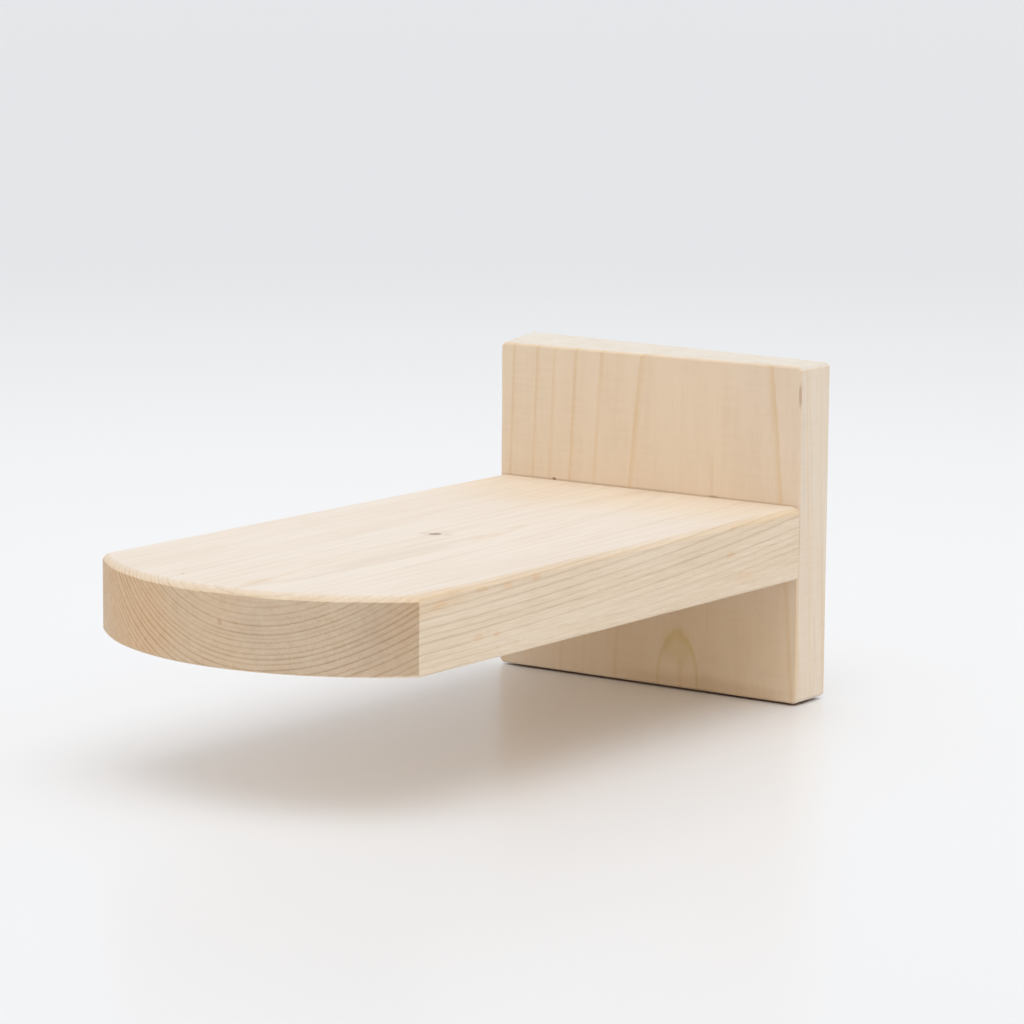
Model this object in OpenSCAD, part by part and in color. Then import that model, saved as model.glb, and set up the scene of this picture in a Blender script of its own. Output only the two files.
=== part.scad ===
// Wall step for a cat: a bowed tread plank, butted and screwed to an upright back board.
// The board hangs on two wall screws by keyhole plates let into its rear face.
// Origin: on the wall plane, on the step's centre line, level with the tread's top face.
// +Y points into the wall, the tread reaches out along -Y, and Z is up. Millimetres.

/* [Tread] */
// Width of the tread and of the back board
step_w = 140; // [110:5:220]
// Length of the tread's straight sides, from the back board to the corners of the bow
tread_side = 240; // [120:10:320]
// How far the bow's middle stands out past its corners
bow_rise = 29; // [12:1:34]
// Thickness of the tread plank
tread_t = 28; // [24:1:40]
// Width of the sanded edge round the tread's top, on each of its two faces
top_arris = 2.5; // [0.5:0.25:4]
// Width of the sanded edge round the tread's underside
under_arris = 0.8; // [0.3:0.1:2]
// Depth that is sanded off the bow's two upright corners
corner_ease = 0.3; // [0.1:0.1:1]

/* [Back board] */
// Thickness of the back board
board_t = 21; // [18:1:30]
// Height of the board's front face above the tread
board_above = 53.5; // [50:0.5:90]
// Height of the board below the tread's underside
board_below = 48.5; // [30:0.5:90]
// How much higher the board's top end is at the wall than at the front
board_top_rise = 2; // [0:0.5:3]
// Width of the sanded edge on the board's four corners, seen from the front
board_corner_arris = 1.6; // [0.5:0.1:3]
// Width of the sanded edge along the board's faces
board_arris = 0.9; // [0.3:0.1:1.5]

/* [Tread joint] */
// Distance from the board's side to the nearest tread screw
tread_screw_inset = 24; // [18:1:30]
// Length of a tread screw, over all
tread_screw_l = 70; // [50:5:80]
// Diameter of a tread screw's head
tread_head_d = 9.7; // [8:0.1:10.5]
// Diameter of a tread screw's plain shank
tread_shank_d = 4.4; // [3.6:0.1:5]
// Diameter of a tread screw's threaded core
tread_core_d = 3.4; // [2.5:0.1:3.5]
// Diameter of a dowel
dowel_d = 8; // [6:0.5:10]
// Length of a dowel
dowel_l = 40; // [30:1:50]
// Length of a dowel that stands in the back board
dowel_in_board = 13; // [8:1:14]

/* [Keyhole plates] */
// Distance from the board's side to the keyhole
keyhole_inset = 25; // [18:1:35]
// Distance from the front of the board's top end down to the plate's middle
plate_down = 26.5; // [25:0.5:30]
// Length of a keyhole plate
plate_l = 42; // [34:1:46]
// Width of a keyhole plate
plate_w = 18; // [16:0.5:20]
// Thickness of a keyhole plate
plate_t = 1.8; // [1.5:0.1:2.5]
// Diameter of the round entry that the wall screw's head goes through
entry_d = 10; // [9:0.25:10.5]
// Width of the slot that the wall screw's shank slides up
slot_w = 5; // [4:0.25:6]
// Distance from the entry's centre up to the seat's centre
slot_travel = 10; // [8:0.5:10]
// Depth of the pocket behind the plate, for the wall screw's head
pocket_deep = 7; // [5:0.5:9]
// Distance from each end of a plate to its screw's centre
plate_screw_inset = 5; // [4.5:0.5:6]
// Length of a plate screw, over all
plate_screw_l = 12; // [9:1:14]
// Diameter of a plate screw's head
plate_head_d = 5.4; // [4.8:0.1:5.6]
// Diameter of a plate screw's threaded core
plate_core_d = 2; // [1.5:0.1:2.1]

/* [Hidden] */
$fn = 32;
bow_facets = 120;
groove_facets = 16;

// Names: each sub-part is drawn alone when node names it
places = ["left", "middle", "right"];
hands = ["left", "right"];
ends = ["upper", "lower"];

// Colours of the bare timber and the bright hardware
board_colour = "#ddc3a5";
tread_colour = "#eeddc4";
dowel_colour = "#d2ab7a";
screw_colour = "#d8c27a";
plate_colour = "#c4c7ca";

// How far a cut runs past the face that it opens
overrun = 1;
// Clearance of the metal in its seats, and of the dowels and screw cores in their holes
seat_gap = 0.1;
// Clearance round a plain shank, round a keyhole plate, and beside the head in its pocket
shank_gap = 0.3;
plate_gap = 0.2;
pocket_gap = 0.5;
// A sanded edge is a shallow arc, whose centre lies this share of its width under each face
arris_share = 1.8;

// Tread: the bow is an arc through both corners, and its middle stands bow_rise past them
half_w = step_w / 2;
bow_r = (pow(half_w, 2) + pow(bow_rise, 2)) / (2 * bow_rise);
bow_y = bow_r - bow_rise - tread_side - board_t;
corner_turn = acos(half_w / bow_r);

// Back board: its lower end, its highest edge, and the slope of its top end
board_low = -tread_t - board_below;
board_high = board_above + board_top_rise;
board_slope = atan(board_top_rise / board_t);

// Tread joint: screws and dowels lie in a row along the middle of the tread's thickness
joint_z = -tread_t / 2;
tread_screw_x = half_w - tread_screw_inset;
dowel_x = tread_screw_x / 2;
tread_head_sink = 0.5;
tread_head_rim = 0.5;
tread_point_l = 5;
tread_star_d = 3.2;
tread_lobe_d = 1.1;
tread_star_deep = 2;
pilot_spare = 2;
dowel_chamfer = 1;
dowel_flutes = 16;
dowel_flute_r = 0.45;
dowel_spare = 1;

// Keyhole plates: just under the wall face, one by each side of the board
plate_x = half_w - keyhole_inset;
plate_z = board_above - plate_down;
plate_end = (plate_l - plate_w) / 2;
plate_screw_z = plate_l / 2 - plate_screw_inset;
plate_sink = 0.2;
plate_hole_d = 3.2;
plate_head_rim = 0.2;
plate_point_l = 2.5;
plate_star_d = 2;
plate_lobe_d = 0.7;
plate_star_deep = 0.9;
star_lobes = 6;

// Which way a name points: left and lower are -1, the middle is 0, right and upper are 1
function way(name) =
    name == "left" || name == "lower" ? -1 : name == "middle" ? 0 : 1;

// What a sanded edge takes away, seen along the edge, which lies at x = out and y = 0
module edge_waste(out, width) {
    centre = arris_share * width;
    translate([out - centre, -centre])
        difference() {
            square(centre + overrun);
            circle(norm([centre, centre - width]));
        }
}

// The same along a straight edge: it follows +Z, with the solid on its -X and -Y sides
module edge_cut(length, width) {
    linear_extrude(length)
        edge_waste(0, width);
}

// The same along an edge that follows X across the step, with the solid behind and below it
module cross_edge_cut(width) {
    translate([-half_w - overrun, 0, 0])
        rotate([90, 0, 90])
            edge_cut(step_w + 2 * overrun, width);
}

// An upright outline with round ends, whose middles are at low and high
module slot_outline(width, low, high) {
    translate([-width / 2, low])
        square([width, high - low]);
    for (middle = [low, high])
        translate([0, middle])
            circle(d = width);
}

// Turns what is drawn in X and Y, and raised along Z, so that it runs from the wall along -Y
module from_wall() {
    rotate([90, 0, 0])
        children();
}

// A copy as drawn, and its mirror image on the other side of the step's centre line
module both_sides() {
    children();
    mirror([1, 0, 0])
        children();
}

// Places its children at a tread screw's head
module at_tread_screw(place) {
    translate([way(place) * tread_screw_x, -tread_head_sink, joint_z])
        from_wall()
            children();
}

// Places its children at the outer face of the keyhole plate of one hand
module at_plate(hand) {
    translate([way(hand) * plate_x, -plate_sink, plate_z])
        from_wall()
            children();
}

// Places its children at the head of one of that plate's screws
module at_plate_screw(hand, end) {
    at_plate(hand)
        translate([0, way(end) * plate_screw_z, 0])
            children();
}

// A countersunk wood screw without its thread, head at z = 0 and point up. One without a
// plain shank is threaded up to its head.
module wood_screw(length, point_l, head_d, rim, core_d, shank_d = 0, shank_l = 0) {
    neck_d = max(core_d, shank_d);
    rotate_extrude()
        polygon(concat(
            [[0, 0], [head_d / 2, 0], [head_d / 2, rim]],
            [[neck_d / 2, rim + (head_d - neck_d) / 2]],
            shank_l > 0 ? [[shank_d / 2, shank_l - (shank_d - core_d) / 2], [core_d / 2, shank_l]] : [],
            [[core_d / 2, length - point_l], [0, length]]
        ));
}

// The six-lobed drive in a screw's head
module star_drive(star_d, lobe_d, depth) {
    translate([0, 0, -overrun])
        linear_extrude(depth + overrun) {
            circle(d = star_d);
            for (lobe = [0 : star_lobes - 1])
                rotate(lobe * 360 / star_lobes)
                    translate([star_d / 2, 0])
                        circle(d = lobe_d, $fn = groove_facets);
        }
}

// The hole for such a screw: a countersink and a plain hole, opened past z = 0
module screw_hole(head_d, rim, hole_d, depth) {
    translate([0, 0, -overrun])
        cylinder(d = head_d + 2 * seat_gap, h = rim + overrun);
    translate([0, 0, rim])
        cylinder(
            d1 = head_d + 2 * seat_gap,
            d2 = hole_d,
            h = (head_d + 2 * seat_gap - hole_d) / 2
        );
    cylinder(d = hole_d, h = depth);
}

module back_board() {
    color(board_colour)
        difference() {
            board_blank();
            for (place = places)
                at_tread_screw(place)
                    screw_hole(
                        tread_head_d,
                        tread_head_rim,
                        tread_shank_d + 2 * shank_gap,
                        board_t + overrun
                    );
            for (hand = hands) {
                dowel_hole(hand, -dowel_spare, dowel_in_board + overrun);
                at_plate(hand)
                    plate_pocket();
                for (end = ends)
                    at_plate_screw(hand, end)
                        screw_hole(
                            plate_head_d,
                            plate_head_rim,
                            plate_core_d + 2 * seat_gap,
                            plate_screw_l + pilot_spare
                        );
            }
        }
}

// The board before it is bored, with a sloping top end and every edge sanded
module board_blank() {
    difference() {
        translate([-half_w, 0, 0])
            rotate([90, 0, 90])
                linear_extrude(step_w)
                    polygon([
                        [-board_t, board_low],
                        [0, board_low],
                        [0, board_high],
                        [-board_t, board_above]
                    ]);
        both_sides() {
            board_upright_cuts();
            board_corner_cuts();
        }
        board_cross_cuts();
    }
}

// The right side's two upright edges
module board_upright_cuts() {
    tall = board_high - board_low + 2 * overrun;
    translate([half_w, 0, board_low - overrun])
        edge_cut(tall, board_arris);
    translate([half_w, -board_t, board_low - overrun])
        mirror([0, 1, 0])
            edge_cut(tall, board_arris);
}

// The right side's two corners, of which the upper one follows the slope of the top end
module board_corner_cuts() {
    deep = board_t / cos(board_slope) + 2 * overrun;
    translate([half_w, 0, board_high])
        rotate([board_slope + 90, 0, 0])
            translate([0, 0, -overrun])
                edge_cut(deep, board_corner_arris);
    translate([half_w, overrun, board_low])
        mirror([0, 0, 1])
            from_wall()
                edge_cut(deep, board_corner_arris);
}

// The edges across the step: those of the top end are turned by half its slope
module board_cross_cuts() {
    translate([0, 0, board_high])
        rotate([board_slope / 2, 0, 0])
            cross_edge_cut(board_arris);
    translate([0, -board_t, board_above])
        rotate([board_slope / 2, 0, 0])
            mirror([0, 1, 0])
                cross_edge_cut(board_arris);
    translate([0, 0, board_low])
        mirror([0, 0, 1])
            cross_edge_cut(board_arris);
    translate([0, -board_t, board_low])
        mirror([0, 1, 0])
            mirror([0, 0, 1])
                cross_edge_cut(board_arris);
}

// A dowel's hole, between two depths measured from the end of the dowel in the board
module dowel_hole(hand, from, to) {
    translate([way(hand) * dowel_x, dowel_in_board - board_t - from, joint_z])
        from_wall()
            cylinder(d = dowel_d + 2 * seat_gap, h = to - from);
}

// The recess for a keyhole plate, and the deeper pocket that the wall screw's head slides in
module plate_pocket() {
    translate([0, 0, -overrun - plate_sink]) {
        linear_extrude(overrun + plate_sink + plate_t)
            slot_outline(plate_w + 2 * plate_gap, -plate_end, plate_end);
        linear_extrude(overrun + plate_sink + plate_t + pocket_deep)
            slot_outline(entry_d + 2 * pocket_gap, -slot_travel / 2, slot_travel / 2);
    }
}

module tread() {
    color(tread_colour)
        difference() {
            tread_blank();
            for (place = places)
                translate([way(place) * tread_screw_x, overrun - board_t, joint_z])
                    from_wall()
                        cylinder(
                            d = tread_core_d + 2 * seat_gap,
                            h = overrun + tread_head_sink + tread_screw_l - board_t + pilot_spare
                        );
            for (hand = hands)
                dowel_hole(hand, dowel_in_board - overrun, dowel_l + dowel_spare);
        }
}

// The tread before it is bored: straight sides, a bow, and a sanded edge all round both faces
module tread_blank() {
    difference() {
        translate([0, 0, -tread_t])
            linear_extrude(tread_t)
                tread_outline();
        tread_edge_cuts(top_arris);
        translate([0, 0, -tread_t])
            mirror([0, 0, 1])
                tread_edge_cuts(under_arris);
        both_sides()
            tread_corner_cut();
    }
}

// The tread from above: a rectangle, less what lies outside the bow's circle
module tread_outline() {
    long = tread_side + bow_rise + overrun;
    difference() {
        translate([-half_w, -board_t - long])
            square([step_w, long]);
        translate([0, bow_y])
            difference() {
                translate([-half_w - overrun, -bow_r - 2 * overrun])
                    square([step_w + 2 * overrun, bow_r + 2 * overrun]);
                circle(bow_r, $fn = bow_facets);
            }
    }
}

// What the sanded edge takes off the tread's face at z = 0, along its sides and round its bow
module tread_edge_cuts(width) {
    bow_from = acos((half_w + overrun) / (bow_r - width));
    both_sides()
        translate([half_w, overrun - board_t, 0])
            from_wall()
                edge_cut(tread_side + bow_rise + 2 * overrun, width);
    translate([0, bow_y, 0])
        rotate([0, 0, bow_from - 180])
            rotate_extrude(angle = 180 - 2 * bow_from, $fn = bow_facets)
                edge_waste(bow_r, width);
}

// What is sanded off the bow's right corner, square to the line between its two faces
module tread_corner_cut() {
    wide = bow_rise;
    translate([half_w, -board_t - tread_side, -tread_t - overrun])
        rotate([0, 0, -corner_turn / 2])
            translate([-corner_ease, -wide / 2, 0])
                cube([wide, wide, tread_t + 2 * overrun]);
}

module tread_screw(place) {
    color(screw_colour)
        at_tread_screw(place)
            difference() {
                wood_screw(
                    tread_screw_l,
                    tread_point_l,
                    tread_head_d,
                    tread_head_rim,
                    tread_core_d,
                    tread_shank_d,
                    board_t - tread_head_sink
                );
                star_drive(tread_star_d, tread_lobe_d, tread_star_deep);
            }
}

// A fluted dowel with bevelled ends
module dowel(hand) {
    color(dowel_colour)
        translate([way(hand) * dowel_x, dowel_in_board - board_t, joint_z])
            from_wall()
                difference() {
                    dowel_blank();
                    for (flute = [0 : dowel_flutes - 1])
                        rotate(flute * 360 / dowel_flutes)
                            translate([dowel_d / 2, 0, -overrun])
                                cylinder(
                                    r = dowel_flute_r,
                                    h = dowel_l + 2 * overrun,
                                    $fn = groove_facets
                                );
                }
}

module dowel_blank() {
    rotate_extrude()
        polygon([
            [0, 0],
            [dowel_d / 2 - dowel_chamfer, 0],
            [dowel_d / 2, dowel_chamfer],
            [dowel_d / 2, dowel_l - dowel_chamfer],
            [dowel_d / 2 - dowel_chamfer, dowel_l],
            [0, dowel_l]
        ]);
}

module keyhole_plate(hand) {
    color(plate_colour)
        at_plate(hand)
            difference() {
                linear_extrude(plate_t)
                    slot_outline(plate_w, -plate_end, plate_end);
                translate([0, 0, -overrun])
                    linear_extrude(plate_t + 2 * overrun)
                        keyhole_outline();
                for (end = ends)
                    translate([0, way(end) * plate_screw_z, 0])
                        screw_hole(plate_head_d, plate_head_rim, plate_hole_d, plate_t + overrun);
            }
}

// The keyhole: a round entry below, and a slot up to the seat
module keyhole_outline() {
    slot_outline(slot_w, -slot_travel / 2, slot_travel / 2);
    translate([0, -slot_travel / 2])
        circle(d = entry_d);
}

module plate_screw(hand, end) {
    color(screw_colour)
        at_plate_screw(hand, end)
            difference() {
                wood_screw(
                    plate_screw_l,
                    plate_point_l,
                    plate_head_d,
                    plate_head_rim,
                    plate_core_d
                );
                star_drive(plate_star_d, plate_lobe_d, plate_star_deep);
            }
}

back_board();
tread();
for (place = places)
    tread_screw(place);
for (hand = hands) {
    dowel(hand);
    keyhole_plate(hand);
    for (end = ends)
        plate_screw(hand, end);
}
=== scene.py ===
"""A wooden cat wall step: a bowed tread screwed to a back board that hangs on two hidden keyhole plates."""

import math
from dataclasses import dataclass

import bmesh
import bpy
from bpy.props import FloatProperty, FloatVectorProperty, IntProperty, PointerProperty
from mathutils import Euler, Matrix, Vector, noise


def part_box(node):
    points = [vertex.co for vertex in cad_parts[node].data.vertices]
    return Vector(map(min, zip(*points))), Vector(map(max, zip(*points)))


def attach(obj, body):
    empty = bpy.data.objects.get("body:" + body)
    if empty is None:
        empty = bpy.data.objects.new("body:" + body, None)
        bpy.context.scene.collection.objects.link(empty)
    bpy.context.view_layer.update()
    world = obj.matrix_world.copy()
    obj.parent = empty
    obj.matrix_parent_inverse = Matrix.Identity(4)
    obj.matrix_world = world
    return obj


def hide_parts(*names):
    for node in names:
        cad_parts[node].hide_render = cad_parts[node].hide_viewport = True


bl_info = {
    "name": "Cat wall step",
    "version": (1, 0, 0),
    "blender": (4, 5, 0),
    "location": "3D View > Sidebar > Cat Step",
    "description": "Builds the pieces, finishes and studio of a wooden cat wall step",
    "category": "Object",
}

MM = 0.001
DEGREE = math.pi / 180
HANDS = ("left", "right")
ENDS = ("upper", "lower")

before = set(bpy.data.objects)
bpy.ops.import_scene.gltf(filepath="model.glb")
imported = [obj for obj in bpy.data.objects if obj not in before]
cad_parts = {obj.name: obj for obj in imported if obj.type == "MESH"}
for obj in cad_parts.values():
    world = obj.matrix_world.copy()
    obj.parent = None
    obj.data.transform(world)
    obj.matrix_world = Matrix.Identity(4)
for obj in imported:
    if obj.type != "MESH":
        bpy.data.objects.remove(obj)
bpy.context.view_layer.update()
TREAD_LOW, TREAD_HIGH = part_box("tread")
BOARD_LOW, BOARD_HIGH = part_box("back_board")
TREAD_SCREWS = tuple(f"tread_screw_{place}" for place in ("left", "middle", "right"))
PLATE_SCREWS = tuple(f"plate_screw_{hand}_{end}" for hand in HANDS for end in ENDS)
PLATES = tuple(f"keyhole_plate_{hand}" for hand in HANDS)
DOWELS = tuple(f"dowel_{hand}" for hand in HANDS)
HALF_WIDTH = TREAD_HIGH.x
BOARD_FRONT = BOARD_LOW.y

# Room round a driven piece and past a dowel's end, how far a cutter runs past its face, and a drill's tip
# as a share of its bore
DRIVEN_GAP = 0.1 * MM
DOWEL_SPARE = 1 * MM
OVERRUN = 1 * MM
TIP_SHARE = 0.2


def shade(red, green, blue):
    """A colour given in shades from 0 to 255, as the linear colour that Blender works in."""
    return tuple(((s / 255 + 0.055) / 1.055) ** 2.4 for s in (red, green, blue))


def length_setting(name, description, millimetres):
    return FloatProperty(
        name=name,
        description=description,
        default=millimetres * MM,
        min=0,
        precision=5,
        unit="LENGTH",
    )


def colour_setting(name, description, colour):
    return FloatVectorProperty(
        name=name, description=description, default=colour, min=0, max=1, size=3, subtype="COLOR"
    )


class TreadSettings(bpy.types.PropertyGroup):
    """Sizes of the tread that its box doesn't give"""

    bow_rise: length_setting("Bow rise", "How far the bowed end stands past its corners", 29)
    top_arris: length_setting("Top arris", "Width of the sanded edge round the top", 2.5)
    under_arris: length_setting("Under arris", "Width of the sanded edge round the underside", 1.1)
    corner_ease: length_setting("Corner ease", "Radius of the two corners of the bow", 1.8)
    pilot_bore: length_setting("Pilot bore", "Diameter of the holes that the screws bite into", 3.6)
    pilot_spare: length_setting("Pilot spare", "Depth of a pilot hole past its screw's point", 2.5)


class BoardSettings(bpy.types.PropertyGroup):
    """Sizes of the back board that its box doesn't give"""

    arris: length_setting("Arris", "Width of the sanded edges of the front and rear faces", 0.9)
    corner_arris: length_setting("Corner arris", "Width of the sanded edge at each corner", 1.6)
    front_left: length_setting("Front left height", "Top end above the tread, front left", 52.9)
    front_right: length_setting("Front right height", "Top end above the tread, front right", 53.5)
    rear_left: length_setting("Rear left height", "Top end above the tread, rear left", 55.5)
    rear_right: length_setting("Rear right height", "Top end above the tread, rear right", 53.5)
    recess_gap: length_setting("Recess gap", "Room round a keyhole plate in its recess", 0.2)
    pocket_gap: length_setting("Pocket gap", "Room round a wall screw's head in its pocket", 0.5)
    pocket_depth: length_setting("Pocket depth", "Depth of a pocket under its plate", 7)
    screw_gap: length_setting("Screw gap", "Room between a screw's shank and its hole", 0.3)
    pilot_spare: length_setting("Pilot spare", "Depth of a plate screw's hole past its point", 2)


class HardwareSettings(bpy.types.PropertyGroup):
    """Sizes of the screws, dowels and keyhole plates that their boxes don't give"""

    rim: length_setting("Head rim", "Straight edge of a tread screw's head", 0.5)
    shank: length_setting("Shank", "Diameter of a tread screw's plain shank", 4.4)
    core: length_setting("Core", "Diameter of a tread screw inside its thread", 3.4)
    thread: length_setting("Thread", "Diameter of a tread screw over its thread", 5.0)
    pitch: length_setting("Pitch", "Advance of a tread screw's thread in one turn", 2.6)
    point: length_setting("Point", "Length of a tread screw's tapered point", 5)
    small_rim: length_setting("Small head rim", "Straight edge of a plate screw's head", 0.2)
    small_core: length_setting("Small core", "Diameter of a plate screw inside its thread", 2.0)
    small_thread: length_setting("Small thread", "Diameter of a plate screw's thread", 3.0)
    small_pitch: length_setting("Small pitch", "Advance of a plate screw's thread in one turn", 1.3)
    small_point: length_setting("Small point", "Length of a plate screw's tapered point", 2.5)
    plate_hole: length_setting("Plate hole", "Diameter of a plate's screw holes", 3.2)
    plate_ease: length_setting("Plate ease", "Rounding of a keyhole plate's edges", 0.15)
    entry: length_setting("Keyhole entry", "Diameter of the hole a wall screw's head passes", 10)
    slot: length_setting("Keyhole slot", "Width of the slot that a wall screw slides in", 5)
    travel: length_setting("Keyhole travel", "Way from the entry up to the seat", 10)
    screw_inset: length_setting("Plate screw inset", "From a plate's end to its screw", 5)
    star: length_setting("Star", "Middle diameter of a tread screw's star drive", 3.7)
    lobe: length_setting("Star lobe", "Rise of the lobes of a tread screw's star drive", 0.6)
    star_depth: length_setting("Star depth", "Depth of a tread screw's star drive", 2)
    small_star: length_setting("Small star", "Middle diameter of a plate screw's star drive", 2.3)
    small_lobe: length_setting("Small star lobe", "Rise of the lobes of a plate screw's star drive", 0.4)
    small_star_depth: length_setting("Small star depth", "Depth of a plate screw's star drive", 0.9)
    columns: IntProperty(
        name="Columns", description="Faces round a screw", default=24, min=12, max=96
    )
    rows_a_turn: IntProperty(
        name="Rows a turn", description="Faces along one turn of a thread", default=10, min=6, max=32
    )


class FinishSettings(bpy.types.PropertyGroup):
    """Colours of the bare timber, the steel and the studio"""

    tread_wood: colour_setting("Tread wood", "Spring growth of the tread", shade(245, 226, 202))
    tread_rings: colour_setting("Tread rings", "What the tread's rings leave of it", (0.76, 0.72, 0.64))
    board_wood: colour_setting("Board wood", "Spring growth of the back board", shade(240, 219, 193))
    board_rings: colour_setting("Board rings", "What the board's rings leave of it", (0.935, 0.86, 0.72))
    beech: colour_setting("Beech", "The dowels", shade(206, 168, 124))
    yellow_zinc: colour_setting("Yellow zinc", "Plating of the screws", shade(214, 188, 112))
    bright_zinc: colour_setting("Bright zinc", "Plating of the keyhole plates", shade(200, 204, 208))
    floor: colour_setting("Floor", "Studio floor round the step", shade(247, 248, 250))
    backdrop: colour_setting("Backdrop", "What is seen past the floor", shade(230, 231, 233))


class StudioSettings(bpy.types.PropertyGroup):
    """Light and camera of the studio"""

    sky: FloatProperty(
        name="Sky", description="Even light from all sides", default=0.745, min=0, max=2
    )
    overhead: FloatProperty(
        name="Overhead light", description="Soft light from above", default=0.96, min=0, max=10
    )
    overhead_spread: FloatProperty(
        name="Overhead spread",
        description="Apparent width of the light from above",
        default=60 * DEGREE,
        min=0,
        subtype="ANGLE",
    )
    overhead_turn: FloatVectorProperty(
        name="Overhead turn",
        description="Turn of the light from above, out of straight down",
        default=(13 * DEGREE, 0, 45 * DEGREE),
        size=3,
        subtype="EULER",
    )
    lens: FloatProperty(
        name="Lens", description="Focal length of the camera, in millimetres", default=142.45, min=1
    )
    camera_place: FloatVectorProperty(
        name="Camera place",
        description="Where the camera stands",
        default=(0.864, -1.3227, 0.238),
        size=3,
        subtype="TRANSLATION",
        unit="LENGTH",
    )
    camera_turn: FloatVectorProperty(
        name="Camera turn",
        description="Turn to the left, tilt downwards and roll of the camera",
        default=(35.49 * DEGREE, 8.99 * DEGREE, 0.41 * DEGREE),
        size=3,
        subtype="EULER",
    )


# Node trees

def wire(tree, value, socket):
    """Joins an output to a socket, or sets the socket to a plain value."""
    if isinstance(value, bpy.types.NodeSocket):
        tree.links.new(value, socket)
    else:
        socket.default_value = value


def add_node(tree, kind, options=None, inputs=None):
    """A new node with its options set and its inputs wired, by name or by number."""
    node = tree.nodes.new(kind)
    for name, value in (options or {}).items():
        setattr(node, name, value)
    for name, value in (inputs or {}).items():
        wire(tree, value, node.inputs[name])
    return node


def calc(tree, operation, *values, clamp=False):
    options = {"operation": operation, "use_clamp": clamp}
    return add_node(tree, "ShaderNodeMath", options, dict(enumerate(values))).outputs["Value"]


def product(tree, *values):
    result = values[0]
    for value in values[1:]:
        result = calc(tree, "MULTIPLY", result, value)
    return result


def vector_calc(tree, operation, *values, output="Vector"):
    options = {"operation": operation}
    return add_node(tree, "ShaderNodeVectorMath", options, dict(enumerate(values))).outputs[output]


def parts_of(tree, vector):
    return add_node(tree, "ShaderNodeSeparateXYZ", None, {"Vector": vector}).outputs


def vector_of(tree, *parts):
    return add_node(tree, "ShaderNodeCombineXYZ", None, dict(zip("XYZ", parts))).outputs["Vector"]


def remap(tree, value, low, high, to_low=0.0, to_high=1.0, smooth=True):
    """The value's way from low to high as a clamped way from to_low to to_high."""
    node = add_node(
        tree,
        "ShaderNodeMapRange",
        {"interpolation_type": "SMOOTHSTEP" if smooth else "LINEAR"},
        {"Value": value, "From Min": low, "From Max": high, "To Min": to_low, "To Max": to_high},
    )
    return node.outputs["Result"]


def mix_colours(tree, factor, first, second, blend="MIX"):
    node = add_node(tree, "ShaderNodeMix", {"data_type": "RGBA", "blend_type": blend})
    wire(tree, factor, node.inputs[0])
    wire(tree, opaque(first), node.inputs[6])
    wire(tree, opaque(second), node.inputs[7])
    return node.outputs[2]


def tinted(tree, factor, colour, tint):
    """The colour, multiplied by a tint as far as the factor says."""
    full = mix_colours(tree, 1.0, colour, tint, "MULTIPLY")
    return mix_colours(tree, factor, colour, full)


def seen_from(tree, vector, **stand):
    """A place as it is seen from a stand with its own Location, Rotation and Scale."""
    options = {"vector_type": "TEXTURE"}
    return add_node(tree, "ShaderNodeMapping", options, {"Vector": vector, **stand}).outputs["Vector"]


def opaque(colour):
    """A plain colour with its alpha, or the output that brings one."""
    return colour if isinstance(colour, bpy.types.NodeSocket) else (*colour[:3], 1.0)


def noise_value(tree, vector, scale, detail=2.0, roughness=0.5):
    inputs = {"Vector": vector, "Scale": scale, "Detail": detail, "Roughness": roughness}
    return add_node(tree, "ShaderNodeTexNoise", {"noise_dimensions": "3D"}, inputs).outputs["Fac"]


def centred_noise(tree, vector, scale, detail=2.0):
    """Noise that strays as far under nought as over it."""
    return calc(tree, "SUBTRACT", noise_value(tree, vector, scale, detail), 0.5)


def new_tree(name, kind, inputs, outputs):
    """A node group with the given sockets, its group nodes placed: (tree, its inputs, its output node)."""
    tree = bpy.data.node_groups.new(name, kind)
    for label, socket_type, value in inputs:
        socket = tree.interface.new_socket(name=label, in_out="INPUT", socket_type=socket_type)
        if value is not None:
            socket.default_value = value
    for label, socket_type in outputs:
        tree.interface.new_socket(name=label, in_out="OUTPUT", socket_type=socket_type)
    return tree, tree.nodes.new("NodeGroupInput").outputs, tree.nodes.new("NodeGroupOutput")


def use_group(tree, group, **inputs):
    """A shared group placed in a tree, its inputs wired by name with underscores for spaces."""
    node = add_node(tree, "ShaderNodeGroup", {"node_tree": group})
    for name, value in inputs.items():
        wire(tree, value, node.inputs[name.replace("_", " ").capitalize()])
    return node.outputs


# Effects that several materials share

def shared(name, build):
    """The node group of that name, built when it is first asked for."""
    return bpy.data.node_groups.get(name) or build(name)


# What a pattern's place is multiplied by, with Z along the fibres: a small share draws it out that way
WAVE_STRETCH = (1, 1, 0.16)
FRAY_STRETCH = (1, 1, 0.08)
CLOUD_STRETCH = (1, 1, 0.2)
FLECK_STRETCH = (1, 1, 0.45)
PORE_STRETCH = (1, 1, 4)
RIPPLE_STRETCH = (0.1, 0.1, 1)
# About how many features of each pattern there are in a metre
FRAYS, STREAKS, HAIRS, PORES, CLOUDS, FLECKS, RIPPLES = 1500, 330, 2200, 2600, 70, 380, 620
# The spans of their values over which pores and flecks open
PORE_SPAN = (0.66, 0.76)
FLECK_SPAN = (0.62, 0.74)
# Fine waves in the length of a slow one, and their height as a share of its height
FINE_WAVES = 6
FINE_WAVE_SHARE = 0.16


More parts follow.
